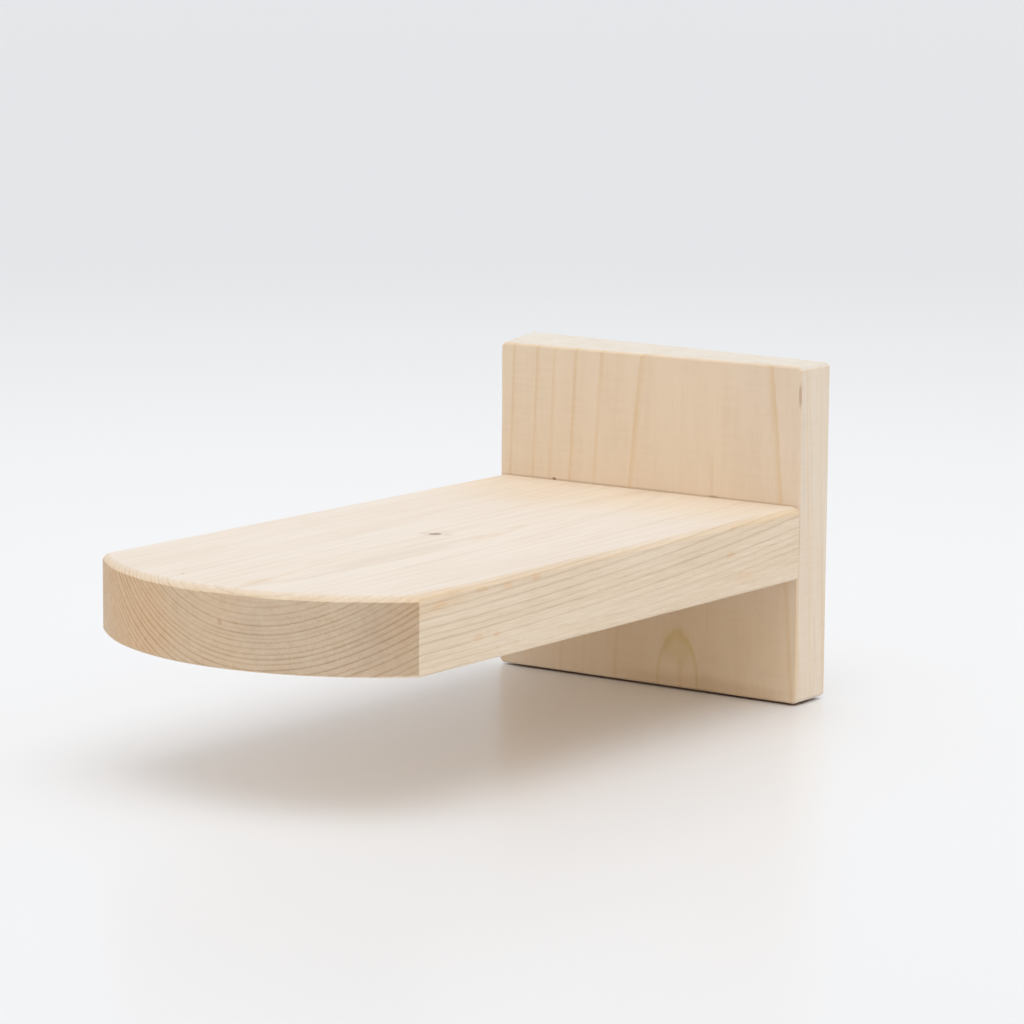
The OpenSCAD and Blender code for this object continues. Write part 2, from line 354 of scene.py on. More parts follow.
def pith_distance_group(name):
    """How far a point lies from the plank's pith. The pith follows Z, bowed along X and Y by a share of
    the squared way past each bow's start, and the rings keep the trunk's slow waviness."""
    tree, given, result = new_tree(
        name,
        "ShaderNodeTree",
        [
            ("Vector", "NodeSocketVector", None),
            ("Bow", "NodeSocketVector", (0, 0, 0)),
            ("Bow start", "NodeSocketVector", (0, 0, 0)),
            ("Waviness", "NodeSocketFloat", 0.8 * MM),
            ("Wave length", "NodeSocketFloat", 30 * MM),
            ("Raggedness", "NodeSocketFloat", 0.4 * MM),
        ],
        [("Distance", "NodeSocketFloat")],
    )
    along = parts_of(tree, given["Vector"])["Z"]
    along = vector_of(tree, along, along, 0)
    way = vector_calc(tree, "SUBTRACT", along, given["Bow start"])
    bowed = vector_calc(tree, "MULTIPLY", vector_calc(tree, "MULTIPLY", way, way), given["Bow"])
    straight = vector_calc(tree, "ADD", given["Vector"], bowed)
    flat = vector_calc(tree, "MULTIPLY", straight, (1, 1, 0))
    reach = vector_calc(tree, "LENGTH", flat, output="Value")
    slow = vector_calc(tree, "MULTIPLY", given["Vector"], WAVE_STRETCH)
    scale = calc(tree, "DIVIDE", 1, given["Wave length"])
    fine_scale = product(tree, scale, FINE_WAVES)
    wave = centred_noise(tree, slow, scale, detail=1.0)
    fine = centred_noise(tree, slow, fine_scale)
    waves = calc(tree, "MULTIPLY_ADD", fine, FINE_WAVE_SHARE, wave)
    fibres = vector_calc(tree, "MULTIPLY", given["Vector"], FRAY_STRETCH)
    frayed = centred_noise(tree, fibres, FRAYS, detail=1.0)
    distance = calc(tree, "MULTIPLY_ADD", waves, given["Waviness"], reach)
    distance = calc(tree, "MULTIPLY_ADD", frayed, given["Raggedness"], distance)
    wire(tree, distance, result.inputs["Distance"])
    return tree


# How far inside a ring's line its summer growth is fully dark and starts to end, as shares of its band
DARK_FROM_SHARE = 0.25
ENDS_FROM_SHARE = 0.2


def growth_rings_group(name):
    """The dark summer growth of each ring: it darkens slowly outwards and ends sharply."""
    tree, given, result = new_tree(
        name,
        "ShaderNodeTree",
        [
            ("Count", "NodeSocketFloat", 0.0),
            ("Ring width", "NodeSocketFloat", 2 * MM),
            ("Strength", "NodeSocketFloat", 1.0),
            ("Band", "NodeSocketFloat", 0.8 * MM),
        ],
        [("Summer growth", "NodeSocketFloat")],
    )
    left = calc(tree, "SUBTRACT", 1, calc(tree, "FRACT", given["Count"]))
    to_line = product(tree, left, given["Ring width"])
    rise = remap(tree, to_line, given["Band"], product(tree, given["Band"], DARK_FROM_SHARE))
    fall = remap(tree, to_line, 0, product(tree, given["Band"], ENDS_FROM_SHARE))
    wire(tree, product(tree, rise, fall, given["Strength"]), result.inputs["Summer growth"])
    return tree


def wood_fibre_group(name):
    """Long fibres along Z: soft streaks, fine hair lines and short open pores. Also broad clouds of tone,
    small brown flecks, and the faint ripples that a plane leaves across the fibres."""
    tree, given, result = new_tree(
        name,
        "ShaderNodeTree",
        [("Vector", "NodeSocketVector", None), ("Stretch", "NodeSocketFloat", 0.02)],
        [(label, "NodeSocketFloat") for label in ("Streak", "Hair", "Pore", "Cloud", "Fleck", "Ripple")],
    )
    stretch = vector_of(tree, 1, 1, given["Stretch"])
    along, broad, short, across = (
        vector_calc(tree, "MULTIPLY", given["Vector"], way)
        for way in (stretch, CLOUD_STRETCH, FLECK_STRETCH, RIPPLE_STRETCH)
    )
    pore = noise_value(tree, vector_calc(tree, "MULTIPLY", along, PORE_STRETCH), PORES, detail=0.0)
    fleck = noise_value(tree, short, FLECKS, roughness=0.7)
    patterns = {
        "Streak": noise_value(tree, along, STREAKS, detail=3.0, roughness=0.6),
        "Hair": noise_value(tree, along, HAIRS, roughness=0.7),
        "Pore": remap(tree, pore, *PORE_SPAN),
        "Cloud": noise_value(tree, broad, CLOUDS, roughness=0.6),
        "Fleck": remap(tree, fleck, *FLECK_SPAN),
        "Ripple": noise_value(tree, across, RIPPLES, detail=1.0),
    }
    for label, pattern in patterns.items():
        wire(tree, pattern, result.inputs[label])
    return tree


# The shares of a spot's reach between which its mask fades and its outline rises and falls, and how many
# rags its edge has in a half size
MASK_FADE = (0.45, 1.0)
OUTLINE_RISE = (0.76, 0.92)
OUTLINE_FALL = (1.0, 0.94)
SPOT_RAGS = 1.3


def spot_group(name):
    """A soft spot round a place: 1 in its middle and 0 past its half sizes, with a ragged edge, and the
    thin outline of the same spot."""
    tree, given, result = new_tree(
        name,
        "ShaderNodeTree",
        [
            ("Vector", "NodeSocketVector", None),
            ("Place", "NodeSocketVector", None),
            ("Half sizes", "NodeSocketVector", None),
            ("Raggedness", "NodeSocketFloat", 0.6),
        ],
        [("Mask", "NodeSocketFloat"), ("Outline", "NodeSocketFloat")],
    )
    local = seen_from(tree, given["Vector"], Location=given["Place"], Scale=given["Half sizes"])
    rag = centred_noise(tree, local, SPOT_RAGS, detail=1.0)
    reach = vector_calc(tree, "LENGTH", local, output="Value")
    reach = calc(tree, "MULTIPLY_ADD", rag, given["Raggedness"], reach)
    outline = product(tree, remap(tree, reach, *OUTLINE_RISE), remap(tree, reach, *OUTLINE_FALL))
    wire(tree, remap(tree, reach, *MASK_FADE, 1.0, 0.0), result.inputs["Mask"])
    wire(tree, outline, result.inputs["Outline"])
    return tree


# Grains and rubbed places of the plating in the length of one of its clouds
PLATING_GRAINS = 14
PLATING_RUBS = 3
RUBBED_SPAN = (0.6, 0.72)


def plating_group(name):
    """Zinc plating on steel: slow clouds, fine grain and small rubbed places."""
    tree, given, result = new_tree(
        name,
        "ShaderNodeTree",
        [("Vector", "NodeSocketVector", None), ("Cloud size", "NodeSocketFloat", 4 * MM)],
        [("Cloud", "NodeSocketFloat"), ("Grain", "NodeSocketFloat"), ("Rubbed", "NodeSocketFloat")],
    )
    scale = calc(tree, "DIVIDE", 1, given["Cloud size"])
    cloud = noise_value(tree, given["Vector"], scale, detail=3.0, roughness=0.6)
    grain = noise_value(tree, given["Vector"], product(tree, scale, PLATING_GRAINS))
    rubbed = noise_value(tree, given["Vector"], product(tree, scale, PLATING_RUBS), detail=4.0)
    wire(tree, cloud, result.inputs["Cloud"])
    wire(tree, grain, result.inputs["Grain"])
    wire(tree, remap(tree, rubbed, *RUBBED_SPAN), result.inputs["Rubbed"])
    return tree


# Materials

def new_material(name, colour):
    """A material with its Principled shader: (material, tree, shader). Colour is its look in the viewport."""
    material = bpy.data.materials.new(name)
    material.use_nodes = True
    material.diffuse_color = opaque(colour)
    tree = material.node_tree
    return material, tree, tree.nodes["Principled BSDF"]


def object_place(tree):
    return add_node(tree, "ShaderNodeTexCoord").outputs["Object"]


def bumped(tree, shader, height, distance):
    """Gives a shader the bumps of a height, that far from lowest to highest."""
    bump = add_node(
        tree, "ShaderNodeBump", None, {"Height": height, "Strength": 1.0, "Distance": distance}
    )
    wire(tree, bump.outputs["Normal"], shader.inputs["Normal"])


@dataclass
class Mark:
    """A tinted place on a plank, for a stain, a figure in the grain, painted light and painted shade alike:
    on all of its wood, its lines, its end grain or the lines there, over the whole place or along its
    outline. Lengths are in millimetres."""

    place: tuple
    half_sizes: tuple
    tint: tuple
    weight: float
    on: str = "wood"
    part: str = "Mask"
    raggedness: float = 0.6


@dataclass
class Plank:
    """How a plank was cut from its log, and how its wood looks. Lengths are in millimetres."""

    name: str
    pith: tuple
    turn: tuple
    bow: tuple
    bow_start: tuple
    rings: tuple
    ring_width: float
    band: float
    wood: tuple
    ring_tint: tuple
    end_grain_and_highlight_tint: tuple
    arris_way: tuple
    arris_tint: tuple
    painted_light_way: tuple
    painted_light_reach: tuple
    painted_light_tint: tuple
    line_strengths: tuple
    fibre: tuple
    fleck: float
    ripple: float
    marks: tuple


# Rings that the faces show: distance from the pith in millimetres, and how dark the ring's line is.
# Even rings of plain strengths follow them up to the last distance, and none is wider than the widest
TREAD_RINGS = (
    (47, 0.2), (50.5, 0.3), (53.9, 0.6), (56.4, 0.7), (58.3, 0.3), (60, 0.5), (62.6, 0.6), (64.4, 0.3),
    (66.2, 1), (67.8, 0.3), (69.25, 1), (70.7, 0.4), (72, 0.7), (74.1, 0.6), (76.1, 0.7), (77.75, 1),
    (79.5, 0.7), (81.5, 1), (84, 1), (86, 0.6), (87.75, 1), (90.75, 1), (92.75, 0.7),
)
BOARD_RINGS = (
    (45, 0), (56, 0), (70.2, 1), (80, 0.8), (88, 0.9), (95.5, 0.6), (101.8, 0.8), (110.7, 0.9),
)
PLAIN_RING_STRENGTHS = (0.45, 0.95)
LAST_RING = 130
WIDEST_RING = 10

# How much a face looks along the fibres where it turns into end grain. The others are shares of the way
# out of the broad face: where a face stops being upright, and where the sanded edge's tinted band starts and
# ends
END_GRAIN_REACH = (0.55, 0.68)
UPRIGHT_REACH = (0.25, 0.5)
EDGE_START = (0.15, 0.4)
EDGE_END = (0.8, 0.98)

# The span of each pattern's value over which it takes effect, from none to all
CLOUD_SPAN = (0.35, 0.7)
FIBRE_SPAN = (0.35, 0.75)
PALE_HAIR_SPAN = (0.42, 0.25)
RIPPLE_SPAN = (0.4, 0.7)
GRAIN_SPAN = (0.3, 0.7)
# What the clouds, from thin to thick, leave of a ring's line and of a ripple
CLOUDED_RINGS = (0.35, 0.65, 0.72, 1.12)
CLOUDED_RIPPLES = (0.38, 0.6, 0.3, 1.0)

# What each part of the grain leaves of the wood's colour
CLOUD_TINT = (0.985, 0.97, 0.955)
STREAK_TINT = (0.955, 0.935, 0.91)
HAIR_TINT = (0.93, 0.915, 0.89)
PALE_HAIR_TINT = (1.02, 1.03, 1.04)
FLECK_TINT = (0.94, 0.84, 0.70)
RIPPLE_TINT = (0.96, 0.95, 0.93)
WOOD_GLOSS = 0.35
WOOD_ROUGHNESS = (0.56, 0.66)
RING_SMOOTHNESS = -0.08
BEECH_ROUGHNESS = (0.55, 0.7)

# Heights of the bumps, and how rings and pores stand against the fine hair
WOOD_RELIEF = 0.03 * MM
RING_RISE_SHARE = 0.5
PORE_RISE_SHARE = -0.6
BEECH_RELIEF = 0.04 * MM
PLATING_RELIEF = 0.008 * MM
RUBBED_STEEL = (0.72, 0.72, 0.73)


def ring_curve(tree, value, heights, places=None):
    """A curve from 0 to 1 through heights at even places, or at the given ones, read at a value."""
    curve = add_node(tree, "ShaderNodeFloatCurve", None, {"Value": value})
    points = curve.mapping.curves[0].points
    last = len(heights) - 1
    places = places or [i / last for i in range(last + 1)]
    points[0].location = (places[0], heights[0])
    points[-1].location = (places[last], heights[last])
    for place, height in list(zip(places, heights))[1:-1]:
        points.new(place, height)
    for point in points:
        point.handle_type = "VECTOR"
    curve.mapping.update()
    return curve.outputs["Value"]


def growth_rings(tree, plank, distance):
    """The summer growth at a distance from the pith, from the rings that the plank's faces show."""
    rings = list(plank.rings)
    weakest, strongest = PLAIN_RING_STRENGTHS
    while rings[-1][0] < LAST_RING:
        chance = abs(noise.noise(Vector((rings[-1][0], 0.5, 0))))
        strength = weakest + (strongest - weakest) * chance
        rings.append((rings[-1][0] + plank.ring_width, strength))
    radii = [radius for radius, strength in rings]
    first, last, count = radii[0], radii[-1], len(radii) - 1
    widths = [(after - before) / WIDEST_RING for before, after in zip(radii, radii[1:])]
    way = remap(tree, distance, first * MM, last * MM, smooth=False)
    shares = [(radius - first) / (last - first) for radius in radii]
    rings_out = ring_curve(tree, way, [i / count for i in range(count + 1)], shares)
    rings_out = product(tree, rings_out, count)
    ring = calc(tree, "DIVIDE", calc(tree, "ADD", calc(tree, "FLOOR", rings_out), 1), count)
    width = ring_curve(tree, ring, widths[:1] + widths)
    strength = ring_curve(tree, ring, [min(strength, 1) for radius, strength in rings])
    return use_group(
        tree,
        shared("growth_rings", growth_rings_group),
        count=rings_out,
        ring_width=product(tree, width, WIDEST_RING * MM),
        strength=strength,
        band=plank.band * MM,
    )


def facing(tree, normal, way, reach):
    """How much a face looks along a way, from 0 at the first share of it to 1 at the second."""
    along = vector_calc(tree, "DOT_PRODUCT", normal, way, output="Value")
    return remap(tree, along, *reach)


def plank_faces(tree, plank):
    """What a place's face is: (how much it is the face that painted light makes pale, end grain, and the
    sanded edge's band).
    """
    normal = add_node(tree, "ShaderNodeTexCoord").outputs["Normal"]
    fibre_way = Euler(plank.turn).to_matrix() @ Vector((0, 0, 1))
    along = vector_calc(tree, "DOT_PRODUCT", normal, fibre_way, output="Value")
    upright = calc(tree, "SUBTRACT", 1, facing(tree, normal, plank.arris_way, UPRIGHT_REACH))
    end_grain = remap(tree, calc(tree, "ABSOLUTE", along), *END_GRAIN_REACH)
    edge_start, edge_end = (
        facing(tree, normal, plank.arris_way, reach) for reach in (EDGE_START, EDGE_END)
    )
    edge_band = calc(tree, "SUBTRACT", edge_start, edge_end)
    pale = facing(tree, normal, plank.painted_light_way, plank.painted_light_reach)
    return pale, product(tree, end_grain, upright), edge_band


def ring_strength(tree, plank, pale, end_grain, cloud):
    """How dark the rings' lines are on each kind of face, fainter where the clouds are thin."""
    side_strength, pale_strength, end_strength = plank.line_strengths
    strength = remap(tree, pale, 0, 1, side_strength, pale_strength, smooth=False)
    strength = remap(tree, end_grain, 0, 1, strength, end_strength, smooth=False)
    return product(tree, strength, remap(tree, cloud, *CLOUDED_RINGS))


def grained(tree, plank, colour, fibre, pale):
    """A colour with the wood's clouds, streaks, hair, flecks and ripples on it."""
    colour = tinted(tree, remap(tree, fibre["Cloud"], *CLOUD_SPAN), colour, CLOUD_TINT)
    fibre_weight = remap(tree, pale, 0, 1, *plank.fibre, smooth=False)
    for part, span, tint in (
        ("Streak", FIBRE_SPAN, STREAK_TINT),
        ("Hair", FIBRE_SPAN, HAIR_TINT),
        ("Hair", PALE_HAIR_SPAN, PALE_HAIR_TINT),
    ):
        weight = remap(tree, fibre[part], *span, 0, fibre_weight)
        colour = tinted(tree, weight, colour, tint)
    fleck = product(tree, fibre["Fleck"], plank.fleck, calc(tree, "SUBTRACT", 1, pale))
    colour = tinted(tree, fleck, colour, FLECK_TINT)
    clouded = remap(tree, fibre["Cloud"], *CLOUDED_RIPPLES)
    ripple = product(tree, remap(tree, fibre["Ripple"], *RIPPLE_SPAN), plank.ripple, clouded)
    return tinted(tree, ripple, colour, RIPPLE_TINT)


def marked_and_shaded(tree, plank, colour, place, summer, end_grain):
    """A colour with the plank's marks on it: stains, figure in the grain, and painted light and shade."""
    end_lines = product(tree, end_grain, summer)
    where = {"wood": 1.0, "lines": summer, "end": end_grain, "end lines": end_lines}
    for mark in plank.marks:
        spot = use_group(
            tree,
            shared("spot", spot_group),
            vector=place,
            place=Vector(mark.place) * MM,
            half_sizes=Vector(mark.half_sizes) * MM,
            raggedness=mark.raggedness,
        )[mark.part]
        weight = product(tree, where[mark.on], mark.weight)
        colour = tinted(tree, product(tree, spot, weight), colour, mark.tint)
    return colour


def sanded(tree, shader, fibre, summer):
    """Gives a shader the sheen and the fine relief of sanded softwood."""
    rough = remap(tree, fibre["Streak"], *GRAIN_SPAN, *WOOD_ROUGHNESS, smooth=False)
    rough = calc(tree, "MULTIPLY_ADD", summer, RING_SMOOTHNESS, rough)
    wire(tree, rough, shader.inputs["Roughness"])
    shader.inputs["Specular IOR Level"].default_value = WOOD_GLOSS
    height = calc(tree, "MULTIPLY_ADD", summer, RING_RISE_SHARE, fibre["Hair"])
    height = calc(tree, "MULTIPLY_ADD", fibre["Pore"], PORE_RISE_SHARE, height)
    bumped(tree, shader, height, WOOD_RELIEF)


def timber(plank):
    """Sanded softwood cut from round its pith."""
    material, tree, shader = new_material(plank.name, plank.wood)
    place = object_place(tree)
    log = seen_from(tree, place, Location=Vector(plank.pith) * MM, Rotation=plank.turn)
    distance = use_group(
        tree,
        shared("pith_distance", pith_distance_group),
        vector=log,
        bow=Vector(plank.bow) / MM,
        bow_start=Vector(plank.bow_start) * MM,
    )["Distance"]
    rings = growth_rings(tree, plank, distance)
    fibre = use_group(tree, shared("wood_fibre", wood_fibre_group), vector=log)
    pale, end_grain, edge_band = plank_faces(tree, plank)
    strength = ring_strength(tree, plank, pale, end_grain, fibre["Cloud"])
    summer = product(tree, strength, rings["Summer growth"])

    # Painted light: the faces that the pale mask picks are tinted paler and cooler than the rest
    colour = tinted(tree, pale, plank.wood, plank.painted_light_tint)
    # End grain: its own darker tone on the tread; on the board a painted highlight that makes it paler
    colour = tinted(tree, end_grain, colour, plank.end_grain_and_highlight_tint)
    colour = tinted(tree, edge_band, colour, plank.arris_tint)
    colour = tinted(tree, summer, colour, plank.ring_tint)
    colour = grained(tree, plank, colour, fibre, pale)
    colour = marked_and_shaded(tree, plank, colour, place, summer, end_grain)
    wire(tree, colour, shader.inputs["Base Color"])
    sanded(tree, shader, fibre, summer)
    return material


def tread_timber():
    finish = bpy.context.scene.cat_step_finish
    amber = (0.90, 0.72, 0.50)
    orange = (0.97, 0.80, 0.64)
    return timber(Plank(
        name="sanded_tread",
        pith=(19, TREAD_LOW.y / MM, 53.5),
        turn=(-math.pi / 2, 0, 0.026),
        bow=(0.9e-4, 0.7e-4, 0),
        bow_start=(0, 84, 0),
        rings=TREAD_RINGS,
        ring_width=1.9,
        band=0.95,
        wood=finish.tread_wood,
        ring_tint=finish.tread_rings,
        end_grain_and_highlight_tint=(0.82, 0.75, 0.67),
        arris_way=(0, 0, 1),
        arris_tint=(0.99, 0.96, 0.915),
        painted_light_way=(0, 0, 1),
        painted_light_reach=(0.5, 0.98),
        # Painted highlight: the top is tinted paler and cooler than the sides, as under bright light
        painted_light_tint=(0.982, 1.06, 1.21),
        line_strengths=(0.62, 0.34, 1.0),
        fibre=(1.3, 0.7),
        fleck=0.55,
        ripple=0.0,
        marks=(
            Mark((-1.6, -156.6, 0), (7, 9, 6), (0.84, 0.79, 0.72), 0.25),
            Mark((-1.6, -156.6, 0), (2.8, 3.2, 5), (0.36, 0.29, 0.24), 0.8),
            Mark((-5.4, -157.2, 0), (3.6, 1.2, 3), (0.66, 0.58, 0.50), 0.4),
            Mark((3.8, -156, 0), (2.6, 1.2, 3), (0.66, 0.58, 0.50), 0.3),
            Mark((16, -150, 0), (3.5, 14, 3), amber, 0.3),
            Mark((10, -273, 0), (4, 9, 3), amber, 0.25),
            Mark((13.5, -200, 0), (8.5, 82, 4), (0.90, 0.82, 0.70), 0.4, part="Outline"),
            Mark((17, -104, 0), (0.8, 5, 3), amber, 0.3),
            Mark((-20, -276.6, 0), (0.5, 0.9, 1), (0.40, 0.35, 0.30), 0.8),
            Mark((-58, -160, 0), (46, 160, 5), (1.14, 1.17, 1.22), 1.0, on="lines"),
            Mark((70, -250, -4.5), (3, 6, 1.6), orange, 0.4),
            Mark((70, -226, -3), (3, 5, 1.6), orange, 0.4),
            Mark((70, -211, -3.8), (3, 4, 1.6), orange, 0.5),
            Mark((70, -194, -3), (3, 4, 1.4), orange, 0.5),
            Mark((70, -69, -12), (3, 4, 1.6), orange, 0.5),
            Mark((70, -228, -19.2), (3, 4, 1.6), orange, 0.5),
            Mark((70, -217.5, -19.5), (3, 2.4, 1.2), orange, 0.5),
            Mark((70, -59, -21.6), (3, 9, 2.6), orange, 0.3),
            Mark((7.2, -289.7, -11.8), (1.2, 1, 1.6), (0.70, 0.56, 0.46), 0.5),
            Mark((70, -254, -2), (6, 26, 8), (0.975, 0.93, 0.87), 1.0),
            # Painted light: the top near the board is tinted warmer, as lit by light bounced off the board
            Mark((0, -21, 0), (200, 70, 5), (0.99, 0.948, 0.866), 1.0),
            # Dirt and painted shadow: a thin dark line along the joint with the board
            Mark((0, -21, 0), (160, 0.9, 0.9), (0.50, 0.38, 0.28), 0.6),
            Mark((0, -150, -28.4), (220, 300, 0.9), (1.0, 0.95, 0.88), 1.0),
            Mark((70, -120, -25), (4, 150, 9), (1.16, 1.20, 1.28), 0.8, on="lines"),
            Mark((-38, -280, -15), (36, 34, 32), (1.025, 0.95, 0.865), 1.0, on="end"),
            Mark((-38, -280, -15), (36, 34, 32), (0.97, 0.90, 0.80), 1.0, on="end lines"),
            Mark((40, -286, -14), (34, 40, 32), (0.945, 0.97, 1.02), 1.0, on="end"),
            Mark((71, -260, -14), (26, 34, 36), (0.87, 0.85, 0.84), 1.0, on="end"),
        ),
    ))


def board_timber():
    finish = bpy.context.scene.cat_step_finish
    amber = (0.88, 0.78, 0.60)
    return timber(Plank(
        name="sanded_board",
        pith=(26.9, BOARD_FRONT / MM - 60.3, 0),
        turn=(0.052, 0, 0),
        bow=(0, 0, 0),
        bow_start=(0, 0, 0),
        rings=BOARD_RINGS,
        ring_width=8,
        band=1.8,
        wood=finish.board_wood,
        ring_tint=finish.board_rings,
        # Painted highlight: the board's end grain is tinted paler and cooler, as if lit from above
        end_grain_and_highlight_tint=(0.945, 1.02, 1.116),
        arris_way=(0, -1, 0),
        arris_tint=(1.0, 0.97, 0.93),
        painted_light_way=(0, 1, 0),
        painted_light_reach=(-0.9, -0.4),
        # Painted light: all faces but the front are tinted paler and cooler, which leaves the front warmer,
        # as if lit by light bounced off the tread
        painted_light_tint=(1.04, 1.10, 1.19),
        line_strengths=(0.85, 0.6, 0.5),
        fibre=(0.4, 0.8),
        fleck=0.0,
        ripple=0.5,
        marks=(
            Mark((69.4, -21, 42.3), (0.6, 1.6, 6.5), (0.60, 0.48, 0.38), 0.65),
            Mark(
                (15.7, -21, -78), (10.4, 30, 25), (0.91, 0.87, 0.66), 0.7, part="Outline", raggedness=0.2
            ),
            Mark((15.9, -21, -60.5), (9, 4, 10.5), (0.95, 0.945, 0.81), 1.0),
            Mark((15.7, -21, -80), (9, 5, 22), (1.03, 1.03, 1.03), 1.0),
            Mark((17, -21, -72), (1.4, 5, 9), amber, 0.3),
            Mark((30.3, -21, 8), (1.1, 4, 12), amber, 0.3),
            Mark((29, -21, -47), (0.8, 4, 8), amber, 0.2),
            # Dirt and painted shadow along the joint with the tread, darkest in two small chips
            Mark((0, -21, 0.1), (100, 1, 0.8), (0.62, 0.50, 0.40), 0.4),
            Mark((-43.7, -21, 0.4), (1.1, 1, 0.8), (0.30, 0.20, 0.12), 0.8),
            Mark((31, -21, 0.3), (3, 1, 0.7), (0.50, 0.36, 0.25), 0.4),
            # Painted shade: the front under the tread is tinted warmer, as in the tread's shadow with bounced
            # light
            Mark((10, -21, -60), (90, 5, 36), (1.0, 0.965, 0.90), 1.0),
            Mark((62, -21, 30), (32, 5, 60), (0.975, 0.98, 1.0), 1.0),
            Mark((-35, -21, -55), (60, 6, 40), (1.05, 1.13, 1.26), 0.55, on="lines"),
            # Painted shade: the front is darker towards the floor, a contact shadow at the board's foot
            Mark((28, -21, -77), (50, 4, 9), (0.90, 0.86, 0.80), 1.0),
        ),
    ))


def dowel_beech():
    """Turned beech: fine even fibre with short darker flecks."""
    colour = bpy.context.scene.cat_step_finish.beech
    material, tree, shader = new_material("turned_beech", colour)
    turned = seen_from(tree, object_place(tree), Rotation=(90 * DEGREE, 0, 0))
    fibre = use_group(tree, shared("wood_fibre", wood_fibre_group), vector=turned, stretch=0.08)
    tone = tinted(tree, remap(tree, fibre["Streak"], *CLOUD_SPAN), colour, (0.80, 0.72, 0.64))
    tone = tinted(tree, fibre["Pore"], tone, (0.62, 0.50, 0.42))
    wire(tree, tone, shader.inputs["Base Color"])
    rough = remap(tree, fibre["Hair"], *GRAIN_SPAN, *BEECH_ROUGHNESS)
    wire(tree, rough, shader.inputs["Roughness"])
    bumped(tree, shader, fibre["Hair"], BEECH_RELIEF)
    return material


def plated_steel(name, colour, cloud_size, smoothest, roughest, tarnish):
    """Zinc plated steel in one of its two tints."""
    material, tree, shader = new_material(name, colour)
    plating = use_group(
        tree, shared("plating", plating_group), vector=object_place(tree), cloud_size=cloud_size
    )
    tone = tinted(tree, remap(tree, plating["Cloud"], *GRAIN_SPAN), colour, tarnish)
    tone = mix_colours(tree, product(tree, plating["Rubbed"], 0.5), tone, RUBBED_STEEL)
    wire(tree, tone, shader.inputs["Base Color"])
    shader.inputs["Metallic"].default_value = 1.0
    rough = remap(tree, plating["Grain"], *GRAIN_SPAN, smoothest, roughest)
    wire(tree, rough, shader.inputs["Roughness"])
    bumped(tree, shader, plating["Grain"], PLATING_RELIEF)
    return material


def screw_steel():
    colour = bpy.context.scene.cat_step_finish.yellow_zinc
    return plated_steel("yellow_zinc", colour, 3 * MM, 0.26, 0.42, (0.88, 0.80, 0.74))


def plate_steel():
    colour = bpy.context.scene.cat_step_finish.bright_zinc
    return plated_steel("bright_zinc", colour, 6 * MM, 0.30, 0.48, (0.86, 0.87, 0.90))


def finish_of(name, build):
    """The material of that name, made when it is first asked for."""
    return bpy.data.materials.get(name) or build()


# Meshes

# Points nearer than this are one. Edges that turn by more than an angle are eased, or stay sharp
SAME_PLACE = 0.001 * MM
EASED_ANGLE = 40 * DEGREE
SHARP_ANGLE = 33 * DEGREE
SHARP_SCREW_ANGLE = 38 * DEGREE


def new_object(name, mesh, material=None):
    piece = bpy.data.objects.new(name, mesh)
    bpy.context.scene.collection.objects.link(piece)
    if material:
        mesh.materials.append(material)
    return piece


def mesh_of(name, builder):
    """Turns a bmesh into a mesh whose doubles are merged and whose faces point outwards."""
    bmesh.ops.remove_doubles(builder, verts=builder.verts, dist=SAME_PLACE)
    bmesh.ops.dissolve_degenerate(builder, edges=builder.edges, dist=SAME_PLACE / 2)
    bmesh.ops.recalc_face_normals(builder, faces=builder.faces)
    mesh = bpy.data.meshes.new(name)
    builder.to_mesh(mesh)
    builder.free()
    return mesh


def loft(rows, closed):
    """A skin through rows of points, each row joined to the next, and the last to the first if closed."""
    builder = bmesh.new()
    grid = [[builder.verts.new(point) for point in row] for row in rows]
    following = grid[1:] + grid[:1] if closed else grid[1:]
    for row, after in zip(grid, following):
        for i in range(len(row) - 1):
            builder.faces.new((row[i], row[i + 1], after[i + 1], after[i]))
    return builder, grid


def close_rings(builder, rings):
    """Joins closed rings of points into a skin and closes it at both ends."""
    for ring, after in zip(rings, rings[1:]):
        for i in range(len(ring)):
            builder.faces.new((ring[i - 1], ring[i], after[i], after[i - 1]))
    builder.faces.new(rings[0])
    builder.faces.new(rings[-1])


def lathe(builder, centre, profile, sides=48):
    """Turns (radius, depth) points round an axis from a centre towards -Y, into a bmesh."""
    turns = [2 * math.pi * i / sides for i in range(sides)]
    rings = []
    for radius, depth in profile:
        places = [(radius * math.cos(turn), -depth, radius * math.sin(turn)) for turn in turns]
        rings.append([builder.verts.new(centre + Vector(place)) for place in places])
    close_rings(builder, rings)


def upright_slot(builder, centre, radius, low, high, start, end, sides=24):
    """A block with a round-ended upright outline, from depth start to depth end towards -Y."""
    outline = []
    for middle, first in ((high, 0), (low, math.pi)):
        for i in range(sides + 1):
            turn = first + math.pi * i / sides
            outline.append((radius * math.cos(turn), middle + radius * math.sin(turn)))
    rings = [
        [builder.verts.new(centre + Vector((x, -depth, z))) for x, z in outline]
        for depth in (start, end)
    ]
    close_rings(builder, rings)


def arris(width, power=1.33, steps=6):
    """A sanded edge's section: (way in from one face, way in from the other), from the second face round."""
    points = []
    for step in range(steps + 1):
        turn = math.pi / 2 * (1 - step / steps)
        across = width * (1 - max(math.cos(turn), 0) ** (2 / power))
        down = width * (1 - max(math.sin(turn), 0) ** (2 / power))
        points.append((across, down))
    return points


